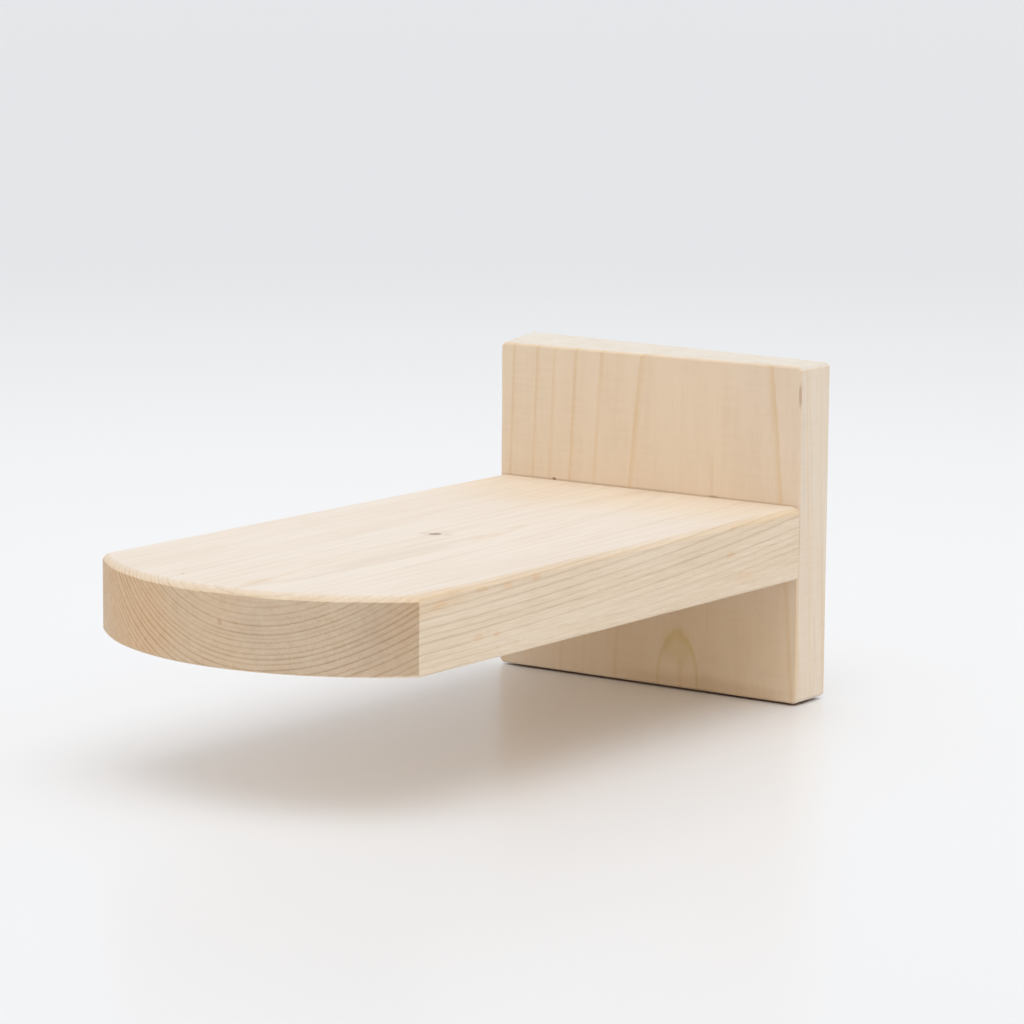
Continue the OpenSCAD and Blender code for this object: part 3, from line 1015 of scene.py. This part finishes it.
def finished(piece, cutters, bevel=0.0):
    """Cuts the cutters out of a piece, evens its shading and leaves it with a plain mesh."""
    for cutter in cutters:
        cut = piece.modifiers.new("cut", "BOOLEAN")
        cut.operation = "DIFFERENCE"
        cut.solver = "EXACT"
        cut.object = cutter
    if bevel:
        ease = piece.modifiers.new("ease", "BEVEL")
        ease.width = bevel
        ease.segments = 2
        ease.limit_method = "ANGLE"
        ease.angle_limit = EASED_ANGLE
    make_plain(piece)
    piece.data.shade_smooth()
    piece.data.set_sharp_from_angle(angle=SHARP_ANGLE)
    evened = piece.modifiers.new("evened", "WEIGHTED_NORMAL")
    evened.keep_sharp = True
    make_plain(piece)
    for cutter in cutters:
        bpy.data.objects.remove(cutter)


def make_plain(piece):
    """Puts what a piece's modifiers make into a plain mesh of its own, and removes them."""
    bpy.context.view_layer.update()
    graph = bpy.context.evaluated_depsgraph_get()
    mesh = bpy.data.meshes.new_from_object(piece.evaluated_get(graph), depsgraph=graph)
    if not mesh.polygons:
        raise RuntimeError(f"{piece.name} came out without a face")
    while mesh.materials[0] is None:
        mesh.materials.pop(index=0)
    piece.modifiers.clear()
    piece.data = mesh
    mesh.name = piece.name


def handed_over(piece, material_slot, *nodes):
    """Hangs a finished piece on the root body and hides the CAD parts that it stands for."""
    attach(piece, "root")
    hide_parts(*nodes)


def uneven(width, share, place, seed, reach=18 * MM):
    """A width that strays slowly from place to place, by up to that share of it, alike at each run."""
    return width * (1 + share * noise.noise(Vector(place) / reach + Vector((seed, 0, 0))))


# How far the width of each sanded edge strays, as a share of it
TOP_STRAY = 0.14
UNDER_STRAY = 0.2
BOARD_STRAY = 0.25


# Tread

def bow_radius(rise):
    return (HALF_WIDTH ** 2 + rise ** 2) / (2 * rise)


def tread_stations(settings):
    """Places round the tread's edge: each is a function from the way in from the edge to (x, y)."""
    radius = bow_radius(settings.bow_rise)
    centre_y = TREAD_LOW.y + radius
    ease = settings.corner_ease

    def mitre(side, inset):
        x = HALF_WIDTH - inset
        return Vector((side * x, centre_y - math.sqrt((radius - inset) ** 2 - x ** 2)))

    def along_side(side, way):
        def place(inset):
            corner = mitre(side, max(inset, ease))
            return Vector((side * (HALF_WIDTH - inset), TREAD_HIGH.y + way * (corner.y - TREAD_HIGH.y)))
        return place

    def round_corner(side, way):
        def place(inset):
            if inset >= ease:
                return mitre(side, inset)
            bow_end = math.asin((HALF_WIDTH - ease) / (radius - ease))
            turn = (1 - way) * math.pi / 2 + way * bow_end
            outward = Vector((side * math.sin(turn), -math.cos(turn)))
            return mitre(side, ease) + (ease - inset) * outward
        return place

    def along_bow(way):
        def place(inset):
            held = max(inset, ease)
            end = math.asin((HALF_WIDTH - held) / (radius - held))
            turn = end * way
            return Vector((
                (radius - inset) * math.sin(turn), centre_y - (radius - inset) * math.cos(turn)
            ))
        return place

    side_steps, corner_steps, bow_steps = 48, 4, 96
    stations = [along_side(1, i / side_steps) for i in range(side_steps)]
    stations += [round_corner(1, i / corner_steps) for i in range(corner_steps + 1)]
    stations += [along_bow(1 - 2 * i / bow_steps) for i in range(1, bow_steps)]
    stations += [round_corner(-1, 1 - i / corner_steps) for i in range(corner_steps + 1)]
    stations += [along_side(-1, 1 - i / side_steps) for i in range(1, side_steps + 1)]
    return stations


def tread_mesh(settings):
    """The tread as one skin over its sanded edges, closed by its top, underside and rear end."""
    rows = []
    for station in tread_stations(settings):
        edge = station(0).to_3d()
        top = arris(uneven(settings.top_arris, TOP_STRAY, edge, seed=3))
        under = arris(uneven(settings.under_arris, UNDER_STRAY, edge, seed=7))
        section = [(inset, TREAD_HIGH.z - drop) for inset, drop in top]
        section += [(inset, TREAD_LOW.z + drop) for inset, drop in reversed(under)]
        rows.append([(*station(inset), z) for inset, z in section])
    builder, grid = loft(rows, closed=False)
    builder.faces.new([row[0] for row in grid])
    builder.faces.new([row[-1] for row in reversed(grid)])
    builder.faces.new(grid[-1] + list(reversed(grid[0])))
    return mesh_of("tread_plank", builder)


def tread_drills(settings):
    """The holes in the tread's rear end for its screws and dowels."""
    builder = bmesh.new()
    for node in TREAD_SCREWS:
        low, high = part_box(node)
        middle = (low + high) / 2
        bore = settings.pilot_bore / 2
        depth = TREAD_HIGH.y - low.y + settings.pilot_spare
        start = Vector((middle.x, TREAD_HIGH.y, middle.z))
        lathe(builder, start, ((bore, -OVERRUN), (bore, depth - bore), (TIP_SHARE * bore, depth)))
    dowel_holes(builder, TREAD_HIGH.y, -1)
    return new_object("tread_drills", mesh_of("tread_drills", builder))


def dowel_holes(builder, face, way):
    """A hole for each dowel on one side of the joint: towards the nose (-1) or the wall (1)."""
    for node in DOWELS:
        low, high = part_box(node)
        middle = (low + high) / 2
        bore = (high.x - low.x) / 2 + DRIVEN_GAP
        end = low.y - DOWEL_SPARE if way < 0 else high.y + DOWEL_SPARE
        start = Vector((middle.x, face, middle.z))
        lathe(builder, start, ((bore, way * OVERRUN), (bore, face - end)))


class BuildTread(bpy.types.Operator):
    """Build the bowed tread with its sanded edges and the holes in its rear end"""

    bl_idname = "cat_step.tread"
    bl_label = "Tread"

    def execute(self, context):
        settings = context.scene.cat_step_tread
        plank = new_object("tread_plank", tread_mesh(settings), finish_of("sanded_tread", tread_timber))
        finished(plank, [tread_drills(settings)])
        handed_over(plank, "tread_timber", "tread")
        return {"FINISHED"}


# Back board

def board_outline(settings):
    """Places round the board's front view: (x, z, outward x, outward z), its corners sanded."""
    corner = arris(settings.corner_arris)
    low, high = BOARD_LOW.z, settings.front_right
    half = HALF_WIDTH
    places = []

    def straight(start, end, outward, steps):
        for i in range(1, steps):
            point = start.lerp(end, i / steps)
            places.append((point.x, point.y, outward[0], outward[1]))

    def rounded(x_way, z_way, z, first_upright):
        section = corner if first_upright else list(reversed(corner))
        for i, (across, down) in enumerate(section):
            way = i / (len(section) - 1)
            turn = math.pi / 2 * (way if not first_upright else 1 - way)
            outward = (x_way * math.cos(turn), z_way * math.sin(turn))
            places.append((x_way * (half - across), z - z_way * down, *outward))

    inset = settings.corner_arris
    across_steps, upright_steps = 36, 32
    rounded(1, 1, high, False)
    straight(Vector((half - inset, high)), Vector((inset - half, high)), (0, 1), across_steps)
    rounded(-1, 1, high, True)
    straight(Vector((-half, high - inset)), Vector((-half, low + inset)), (-1, 0), upright_steps)
    rounded(-1, -1, low, False)
    straight(Vector((inset - half, low)), Vector((half - inset, low)), (0, -1), across_steps)
    rounded(1, -1, low, True)
    straight(Vector((half, low + inset)), Vector((half, high - inset)), (1, 0), upright_steps)
    return places


def board_mesh(settings):
    """The board as one skin round its four edges, closed by its front and rear faces."""
    def top_height(x, y):
        right = (x + HALF_WIDTH) / (2 * HALF_WIDTH)
        rear = (y - BOARD_FRONT) / (BOARD_HIGH.y - BOARD_FRONT)
        front_top = settings.front_left * (1 - right) + settings.front_right * right
        rear_top = settings.rear_left * (1 - right) + settings.rear_right * right
        return front_top * (1 - rear) + rear_top * rear

    rows = []
    for x, z, out_x, out_z in board_outline(settings):
        edge = Vector((x, 0, z))
        front = arris(uneven(settings.arris, BOARD_STRAY, edge, seed=11))
        rear = arris(uneven(settings.arris, BOARD_STRAY, edge, seed=17))
        section = [(inset, BOARD_FRONT + drop) for inset, drop in front]
        section += [(inset, BOARD_HIGH.y - drop) for inset, drop in reversed(rear)]
        row = []
        for inset, y in section:
            px, pz = x - inset * out_x, z - inset * out_z
            if pz > 0:
                pz *= top_height(px, y) / settings.front_right
            row.append((px, y, pz))
        rows.append(row)
    builder, grid = loft(rows, closed=True)
    builder.faces.new([row[0] for row in grid])
    builder.faces.new([row[-1] for row in reversed(grid)])
    return mesh_of("back_board_plank", builder)


def plate_box(node):
    """A keyhole plate's middle on its outer face, and its half width, half length and thickness."""
    low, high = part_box(node)
    middle = (low + high) / 2
    return Vector((middle.x, high.y, middle.z)), (high.x - low.x) / 2, (high.z - low.z) / 2, high.y - low.y


def board_cutters(settings, hardware):
    """The recesses, the pockets and the holes, as three cutters."""
    recesses, pockets, drills = bmesh.new(), bmesh.new(), bmesh.new()
    for node in PLATES:
        centre, half_width, half_length, thick = plate_box(node)
        end = half_length - half_width
        radius = half_width + settings.recess_gap
        upright_slot(recesses, centre, radius, -end, end, -OVERRUN, thick)
        radius = hardware.entry / 2 + settings.pocket_gap
        half_travel = hardware.travel / 2
        depth = thick + settings.pocket_depth
        upright_slot(pockets, centre, radius, -half_travel, half_travel, -OVERRUN, depth)
    for node in TREAD_SCREWS:
        centre, head, length = screw_box(node)
        wide = head / 2 + DRIVEN_GAP
        bore = hardware.shank / 2 + settings.screw_gap
        cone_end = hardware.rim + wide - bore
        profile = ((wide, -OVERRUN), (wide, hardware.rim), (bore, cone_end), (bore, length / 2))
        lathe(drills, centre, profile)
    for node in PLATE_SCREWS:
        centre, head, length = screw_box(node)
        bore = hardware.small_core / 2 + DRIVEN_GAP
        depth = length + settings.pilot_spare
        lathe(drills, centre, ((bore, 0), (bore, depth - bore), (TIP_SHARE * bore, depth)))
    dowel_holes(drills, BOARD_FRONT, 1)
    return [
        new_object(name, mesh_of(name, builder))
        for name, builder in (("recesses", recesses), ("pockets", pockets), ("drills", drills))
    ]


class BuildBackBoard(bpy.types.Operator):
    """Build the back board with its recesses, pockets, countersinks and holes"""

    bl_idname = "cat_step.back_board"
    bl_label = "Back board"

    def execute(self, context):
        settings = context.scene.cat_step_board
        material = finish_of("sanded_board", board_timber)
        plank = new_object("back_board_plank", board_mesh(settings), material)
        finished(plank, board_cutters(settings, context.scene.cat_step_hardware))
        handed_over(plank, "board_timber", "back_board")
        return {"FINISHED"}


# Screws

SCREW_SIZES = (
    "Head", "Rim", "Neck", "Shank length", "Core", "Thread", "Pitch", "Length", "Point",
    "Star", "Lobe", "Star depth",
)
HALVED_SIZES = ("Head", "Neck", "Core", "Thread", "Star", "Lobe")
STAR_LOBES = 6
# The star's floor and lip as shares of its width and depth, the head's ease as a share of its rim, and
# the thread's crest and foot as shares of its pitch
STAR_FLOOR_SHARE = 0.9
STAR_LIP_SHARE = 0.1
HEAD_EASE_SHARE = 0.4
CREST_SHARES = (0.06, 0.3)


def screw_box(node):
    """A screw's middle on the face of its head, its head's diameter and its length."""
    low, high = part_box(node)
    middle = (low + high) / 2
    return Vector((middle.x, high.y, middle.z)), high.x - low.x, high.y - low.y


def index_choice(tree, index, values):
    """The value at an index of a list of values."""
    node = add_node(tree, "GeometryNodeIndexSwitch", {"data_type": "FLOAT"})
    while len(node.index_switch_items) < len(values):
        node.index_switch_items.new()
    wire(tree, index, node.inputs["Index"])
    for socket, value in zip(node.inputs[1:], values):
        wire(tree, value, socket)
    return node.outputs["Output"]


def head_section(tree, given, half, turn, ends):
    """The radii and the depths of the rows from the drive's middle to the thread. The ends are the depths
    where the head's cone, the shank and the shank's taper end."""
    lobes = calc(tree, "COSINE", product(tree, turn, STAR_LOBES))
    star = calc(tree, "MULTIPLY_ADD", lobes, half["Lobe"], half["Star"])
    star_floor = product(tree, star, STAR_FLOOR_SHARE)
    star_lip = product(tree, given["Star depth"], STAR_LIP_SHARE)
    ease = product(tree, given["Rim"], HEAD_EASE_SHARE)
    head, neck, core = half["Head"], half["Neck"], half["Core"]
    face_edge = calc(tree, "SUBTRACT", head, ease)
    radii = (0.0, star_floor, star, star, face_edge, head, head, neck, neck, core)
    depths = (given["Star depth"], given["Star depth"], star_lip, 0.0, 0.0, ease, given["Rim"], *ends)
    return radii, depths


def thread_radius(tree, given, half, round_way, depth, thread_start):
    """The thread's radius at a depth: a core with a ridge that winds down it, tapered at the point."""
    to_point = calc(tree, "SUBTRACT", given["Length"], depth)
    taper = calc(tree, "DIVIDE", to_point, given["Point"], clamp=True)
    from_start = calc(tree, "SUBTRACT", depth, thread_start)
    start = calc(tree, "DIVIDE", from_start, given["Pitch"], clamp=True)
    turns_down = calc(tree, "DIVIDE", depth, given["Pitch"])
    phase = calc(tree, "FRACT", calc(tree, "SUBTRACT", turns_down, round_way))
    off_crest = calc(tree, "ABSOLUTE", calc(tree, "SUBTRACT", phase, 0.5))
    ridge = remap(tree, off_crest, *CREST_SHARES, 1.0, 0.0, smooth=False)
    ridge_height = calc(tree, "SUBTRACT", half["Thread"], half["Core"])
    radius = calc(tree, "ADD", half["Core"], product(tree, ridge, ridge_height, start))
    return product(tree, radius, taper)


def rolled_sheet(tree, given, rows, turn, radius, depth):
    """A sheet of that many rows, rolled up to a radius and a depth, in place and with its steel."""
    vertices = {"Vertices X": calc(tree, "ADD", given["Columns"], 1), "Vertices Y": rows}
    body = add_node(tree, "GeometryNodeMeshGrid", None, vertices).outputs["Mesh"]
    rolled = vector_of(
        tree,
        product(tree, radius, calc(tree, "COSINE", turn)),
        product(tree, depth, -1),
        product(tree, radius, calc(tree, "SINE", turn)),
    )
    for kind, inputs in (
        ("SetPosition", {"Position": vector_calc(tree, "ADD", rolled, given["Place"])}),
        ("MergeByDistance", {"Distance": 5 * SAME_PLACE}),
        ("SetShadeSmooth", {}),
        ("RealizeInstances", {}),
        ("SetMaterial", {"Material": given["Steel"]}),
    ):
        inputs = {"Geometry": body, **inputs}
        body = add_node(tree, f"GeometryNode{kind}", None, inputs).outputs["Geometry"]
    return body


def threaded_screw_tree(name):
    """A countersunk screw: a sheet rolled up round its axis, its rows the drive, head, shank and thread."""
    tree, given, result = new_tree(
        name,
        "GeometryNodeTree",
        [(label, "NodeSocketFloat", 1 * MM) for label in SCREW_SIZES]
        + [
            ("Columns", "NodeSocketInt", 24),
            ("Rows a turn", "NodeSocketInt", 10),
            ("Place", "NodeSocketVector", None),
            ("Steel", "NodeSocketMaterial", None),
        ],
        [("Geometry", "NodeSocketGeometry")],
    )
    half = {label: product(tree, given[label], 0.5) for label in HALVED_SIZES}
    place = parts_of(tree, add_node(tree, "GeometryNodeInputPosition").outputs[0])
    round_way, down_way = (calc(tree, "ADD", place[axis], 0.5) for axis in "XY")
    turn = product(tree, round_way, 2 * math.pi)

    cone_end = calc(tree, "ADD", given["Rim"], calc(tree, "SUBTRACT", half["Head"], half["Neck"]))
    shank_end = calc(tree, "MAXIMUM", given["Shank length"], cone_end)
    thread_start = calc(tree, "ADD", shank_end, calc(tree, "SUBTRACT", half["Neck"], half["Core"]))
    threaded = calc(tree, "SUBTRACT", given["Length"], thread_start)
    turns = calc(tree, "DIVIDE", threaded, given["Pitch"])
    thread_rows = calc(tree, "CEIL", product(tree, turns, given["Rows a turn"]))
    ends = (cone_end, shank_end, thread_start)
    head_radii, head_depths = head_section(tree, given, half, turn, ends)
    last_head_row = len(head_radii) - 1

    rows = calc(tree, "ADD", thread_rows, len(head_radii))
    row = calc(tree, "ROUND", product(tree, down_way, calc(tree, "SUBTRACT", rows, 1)))
    way = calc(tree, "DIVIDE", calc(tree, "SUBTRACT", row, last_head_row), thread_rows)
    depth = calc(tree, "MULTIPLY_ADD", way, threaded, thread_start)
    head_row = calc(tree, "MINIMUM", row, last_head_row)
    in_thread = calc(tree, "GREATER_THAN", row, last_head_row + 0.5)

    def choose(head_values, thread_value):
        node = add_node(tree, "ShaderNodeMix", {"data_type": "FLOAT"})
        wire(tree, in_thread, node.inputs[0])
        wire(tree, index_choice(tree, head_row, head_values), node.inputs[2])
        wire(tree, thread_value, node.inputs[3])
        return node.outputs[0]

    radius = choose(head_radii, thread_radius(tree, given, half, round_way, depth, thread_start))
    depth = choose(head_depths, depth)
    body = rolled_sheet(tree, given, rows, turn, radius, depth)
    wire(tree, body, result.inputs["Geometry"])
    return tree


def threaded_screw(node, sizes, hardware):
    """One screw in place of its CAD node, from the shared tree."""
    tree = shared("threaded_screw", threaded_screw_tree)
    centre, head, length = screw_box(node)
    values = dict(sizes)
    values.update({
        "Head": head,
        "Length": length,
        "Columns": hardware.columns,
        "Rows a turn": hardware.rows_a_turn,
        "Place": centre,
        "Steel": finish_of("yellow_zinc", screw_steel),
    })
    piece = new_object(f"{node}_threaded", bpy.data.meshes.new(node))
    build = piece.modifiers.new("screw", "NODES")
    build.node_group = tree
    for item in tree.interface.items_tree:
        if item.item_type == "SOCKET" and item.in_out == "INPUT":
            build[item.identifier] = values[item.name]
    make_plain(piece)
    piece.data.set_sharp_from_angle(angle=SHARP_SCREW_ANGLE)
    handed_over(piece, "screw_steel", node)


class BuildTreadScrews(bpy.types.Operator):
    """Build the three long screws that hold the tread"""

    bl_idname = "cat_step.tread_screws"
    bl_label = "Tread screws"

    def execute(self, context):
        hardware = context.scene.cat_step_hardware
        for node in TREAD_SCREWS:
            sizes = {
                "Rim": hardware.rim,
                "Neck": hardware.shank,
                "Shank length": screw_box(node)[0].y - BOARD_FRONT,
                "Core": hardware.core,
                "Thread": hardware.thread,
                "Pitch": hardware.pitch,
                "Point": hardware.point,
                "Star": hardware.star,
                "Lobe": hardware.lobe,
                "Star depth": hardware.star_depth,
            }
            threaded_screw(node, sizes, hardware)
        return {"FINISHED"}


class BuildPlateScrews(bpy.types.Operator):
    """Build the four short screws that hold the keyhole plates"""

    bl_idname = "cat_step.plate_screws"
    bl_label = "Plate screws"

    def execute(self, context):
        hardware = context.scene.cat_step_hardware
        sizes = {
            "Rim": hardware.small_rim,
            "Neck": hardware.small_core,
            "Shank length": 0.0,
            "Core": hardware.small_core,
            "Thread": hardware.small_thread,
            "Pitch": hardware.small_pitch,
            "Point": hardware.small_point,
            "Star": hardware.small_star,
            "Lobe": hardware.small_lobe,
            "Star depth": hardware.small_star_depth,
        }
        for node in PLATE_SCREWS:
            threaded_screw(node, sizes, hardware)
        return {"FINISHED"}


# Keyhole plates and dowels

def keyhole_plate(node, hardware):
    """A stamped plate with its keyhole and its two countersunk holes, in place of its CAD node."""
    centre, half_width, half_length, thick = plate_box(node)
    end = half_length - half_width
    builder = bmesh.new()
    upright_slot(builder, centre, half_width, -end, end, 0, thick, sides=32)
    material = finish_of("bright_zinc", plate_steel)
    plate = new_object(f"{node}_stamped", mesh_of(node, builder), material)

    slot, holes = bmesh.new(), bmesh.new()
    half_travel = hardware.travel / 2
    through = thick + OVERRUN
    upright_slot(slot, centre, hardware.slot / 2, -half_travel, half_travel, -OVERRUN, through)
    entry = hardware.entry / 2
    middle = centre + Vector((0, 0, -half_travel))
    lathe(holes, middle, ((entry, -OVERRUN), (entry, through)), sides=64)
    head = screw_box(PLATE_SCREWS[0])[1] / 2 + DRIVEN_GAP
    hole = hardware.plate_hole / 2
    for way in (-1, 1):
        middle = centre + Vector((0, 0, way * (half_length - hardware.screw_inset)))
        cone_end = hardware.small_rim + head - hole
        profile = ((head, -OVERRUN), (head, hardware.small_rim), (hole, cone_end), (hole, through))
        lathe(holes, middle, profile)
    cutters = [new_object(name, mesh_of(name, made)) for name, made in (("slot", slot), ("holes", holes))]
    finished(plate, cutters, bevel=hardware.plate_ease)
    handed_over(plate, "plate_steel", node)


class BuildKeyholePlates(bpy.types.Operator):
    """Build the two keyhole plates that the step hangs by"""

    bl_idname = "cat_step.keyhole_plates"
    bl_label = "Keyhole plates"

    def execute(self, context):
        for node in PLATES:
            keyhole_plate(node, context.scene.cat_step_hardware)
        return {"FINISHED"}


class FinishDowels(bpy.types.Operator):
    """Give the two fluted dowels their beech"""

    bl_idname = "cat_step.dowels"
    bl_label = "Dowels"

    def execute(self, context):
        material = finish_of("turned_beech", dowel_beech)
        for node in DOWELS:
            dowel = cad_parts[node]
            if not dowel.material_slots:
                raise RuntimeError(f"{node} has no material slot")
            for material_slot in dowel.material_slots:
                material_slot.material = material
        return {"FINISHED"}


# Studio

FLOOR_REACH = 30
CLIP_SHARE = 4
# The floor lies a little under the board; that gap and the painted shadow on the floor under the board leave
# the thin dark line along the board's foot
FLOOR_LEVEL = BOARD_LOW.z - 0.9 * MM
FLOOR_MIDDLE = Vector((-0.1, 0.05, FLOOR_LEVEL))
# Painted light falloff: from the first to the second distance the floor darkens to the far tint
FLOOR_FADE = (0.05, 1.75)
PAINTED_FALLOFF_TINT = (0.805, 0.811, 0.817)
# Painted shadow: the floor's colour under the board
PAINTED_SHADOW_UNDER_BOARD = (0.50, 0.30, 0.16)
BOARD_SHADE_EDGE = 3 * MM
FLOOR_ROUGHNESS = 0.30
FLOOR_GLOSS = 0.5


def either_shader(tree, choice, first, second, output):
    """Puts out the first shader where the choice is 0 and the second where it is 1."""
    inputs = {0: choice, 1: first.outputs[0], 2: second.outputs[0]}
    mixed = add_node(tree, "ShaderNodeMixShader", None, inputs)
    wire(tree, mixed.outputs[0], output.inputs["Surface"])


def floor_material():
    """A pale floor, made a little darker far from the step by painted light falloff, with a painted dark
    brown shadow under the board, and clear from below. It is clear under the board for the first bounce too,
    so that light reaches the board's lower end where that is seen from below."""
    colour = bpy.context.scene.cat_step_finish.floor
    material, tree, shader = new_material("studio_floor", colour)
    place = object_place(tree)
    away = vector_calc(tree, "SUBTRACT", place, FLOOR_MIDDLE)
    reach = vector_calc(tree, "LENGTH", away, output="Value")
    # Painted light falloff: the floor is tinted darker with distance from its middle
    colour = tinted(tree, remap(tree, reach, *FLOOR_FADE), colour, PAINTED_FALLOFF_TINT)
    shader.inputs["Roughness"].default_value = FLOOR_ROUGHNESS
    shader.inputs["Specular IOR Level"].default_value = FLOOR_GLOSS

    board = (BOARD_LOW + BOARD_HIGH) / 2
    half = (BOARD_HIGH - BOARD_LOW) / 2
    reach = vector_calc(tree, "ABSOLUTE", vector_calc(tree, "SUBTRACT", place, board))
    sides = parts_of(tree, reach)
    across = remap(tree, sides["X"], half.x, half.x - BOARD_SHADE_EDGE)
    along = remap(tree, sides["Y"], half.y, half.y - BOARD_SHADE_EDGE)
    under = product(tree, across, along)
    # Painted shadow: dark brown on the floor under the board, seen through the gap at its foot
    wire(tree, mix_colours(tree, under, colour, PAINTED_SHADOW_UNDER_BOARD), shader.inputs["Base Color"])

    below = add_node(tree, "ShaderNodeNewGeometry").outputs["Backfacing"]
    rays = add_node(tree, "ShaderNodeLightPath").outputs
    first = calc(tree, "LESS_THAN", rays["Ray Depth"], 1.5)
    leaving = calc(tree, "SUBTRACT", 1, rays["Is Camera Ray"])
    hidden = calc(tree, "MAXIMUM", below, product(tree, under, first, leaving))
    clear = add_node(tree, "ShaderNodeBsdfTransparent")
    either_shader(tree, hidden, shader, clear, tree.nodes["Material Output"])
    return material


def build_floor():
    builder = bmesh.new()
    reach = FLOOR_REACH
    corners = [(-reach, -reach), (reach, -reach), (reach, reach), (-reach, reach)]
    builder.faces.new([builder.verts.new((x, y, FLOOR_LEVEL)) for x, y in corners])
    mesh = bpy.data.meshes.new("studio_floor")
    builder.to_mesh(mesh)
    builder.free()
    floor = new_object("studio_floor", mesh, floor_material())


def build_world(strength, backdrop):
    """Even light from all sides. The camera and clear reflections see the backdrop's colour."""
    world = bpy.data.worlds.new("studio_sky")
    world.use_nodes = True
    bpy.context.scene.world = world
    tree = world.node_tree
    tree.nodes.clear()
    rays = add_node(tree, "ShaderNodeLightPath").outputs
    seen = calc(tree, "MAXIMUM", rays["Is Camera Ray"], rays["Is Glossy Ray"])
    seen = calc(tree, "MAXIMUM", seen, rays["Is Transmission Ray"])
    light = add_node(tree, "ShaderNodeBackground", None, {"Color": (1, 1, 1, 1), "Strength": strength})
    view = add_node(tree, "ShaderNodeBackground", None, {"Color": opaque(backdrop), "Strength": 1.0})
    either_shader(tree, seen, light, view, add_node(tree, "ShaderNodeOutputWorld"))


def build_lamp(studio):
    lamp = bpy.data.lights.new("overhead", "SUN")
    lamp.energy = studio.overhead
    lamp.angle = studio.overhead_spread
    piece = bpy.data.objects.new("overhead", lamp)
    piece.rotation_euler = studio.overhead_turn
    bpy.context.scene.collection.objects.link(piece)


def build_camera(studio):
    """The camera where the photograph was taken from."""
    data = bpy.data.cameras.new("camera")
    data.lens = studio.lens
    data.clip_end = CLIP_SHARE * FLOOR_REACH
    camera = bpy.data.objects.new("camera", data)
    left, down, roll = studio.camera_turn
    ahead = Vector((
        -math.sin(left) * math.cos(down), math.cos(left) * math.cos(down), -math.sin(down)
    ))
    right = Vector((math.cos(left), math.sin(left), 0))
    up = right.cross(ahead)
    rolled_right = math.cos(roll) * right + math.sin(roll) * up
    rolled_up = math.cos(roll) * up - math.sin(roll) * right
    turn = Matrix((rolled_right, rolled_up, -ahead)).transposed()
    camera.matrix_world = Matrix.Translation(studio.camera_place) @ turn.to_4x4()
    bpy.context.scene.collection.objects.link(camera)
    bpy.context.scene.camera = camera


class BuildStudio(bpy.types.Operator):
    """Build the floor, the light and the camera"""

    bl_idname = "cat_step.studio"
    bl_label = "Studio"

    def execute(self, context):
        studio = context.scene.cat_step_studio
        context.scene.view_settings.view_transform = "Standard"
        build_floor()
        build_world(studio.sky, context.scene.cat_step_finish.backdrop)
        build_lamp(studio)
        build_camera(studio)
        return {"FINISHED"}


class StepPanel(bpy.types.Panel):
    """The pieces of the cat wall step and their settings"""

    bl_idname = "VIEW3D_PT_cat_step"
    bl_label = "Cat wall step"
    bl_space_type = "VIEW_3D"
    bl_region_type = "UI"
    bl_category = "Cat Step"

    def draw(self, context):
        for operator in OPERATORS:
            self.layout.operator(operator.bl_idname)
        for name, group in SETTINGS.items():
            box = self.layout.box()
            box.label(text=group.__doc__)
            for setting in group.__annotations__:
                box.prop(getattr(context.scene, name), setting)


SETTINGS = {
    "cat_step_tread": TreadSettings,
    "cat_step_board": BoardSettings,
    "cat_step_hardware": HardwareSettings,
    "cat_step_finish": FinishSettings,
    "cat_step_studio": StudioSettings,
}
OPERATORS = (
    BuildTread,
    BuildBackBoard,
    BuildTreadScrews,
    BuildPlateScrews,
    BuildKeyholePlates,
    FinishDowels,
    BuildStudio,
)


def register():
    for group in (*SETTINGS.values(), *OPERATORS, StepPanel):
        bpy.utils.register_class(group)
    for name, group in SETTINGS.items():
        setattr(bpy.types.Scene, name, PointerProperty(type=group))


def unregister():
    for name in SETTINGS:
        delattr(bpy.types.Scene, name)
    for group in (StepPanel, *reversed(OPERATORS), *reversed(SETTINGS.values())):
        bpy.utils.unregister_class(group)


def main():
    register()
    bpy.ops.cat_step.tread()
    bpy.ops.cat_step.back_board()
    bpy.ops.cat_step.tread_screws()
    bpy.ops.cat_step.plate_screws()
    bpy.ops.cat_step.keyhole_plates()
    bpy.ops.cat_step.dowels()
    bpy.ops.cat_step.studio()


if __name__ == "__main__":
    main()
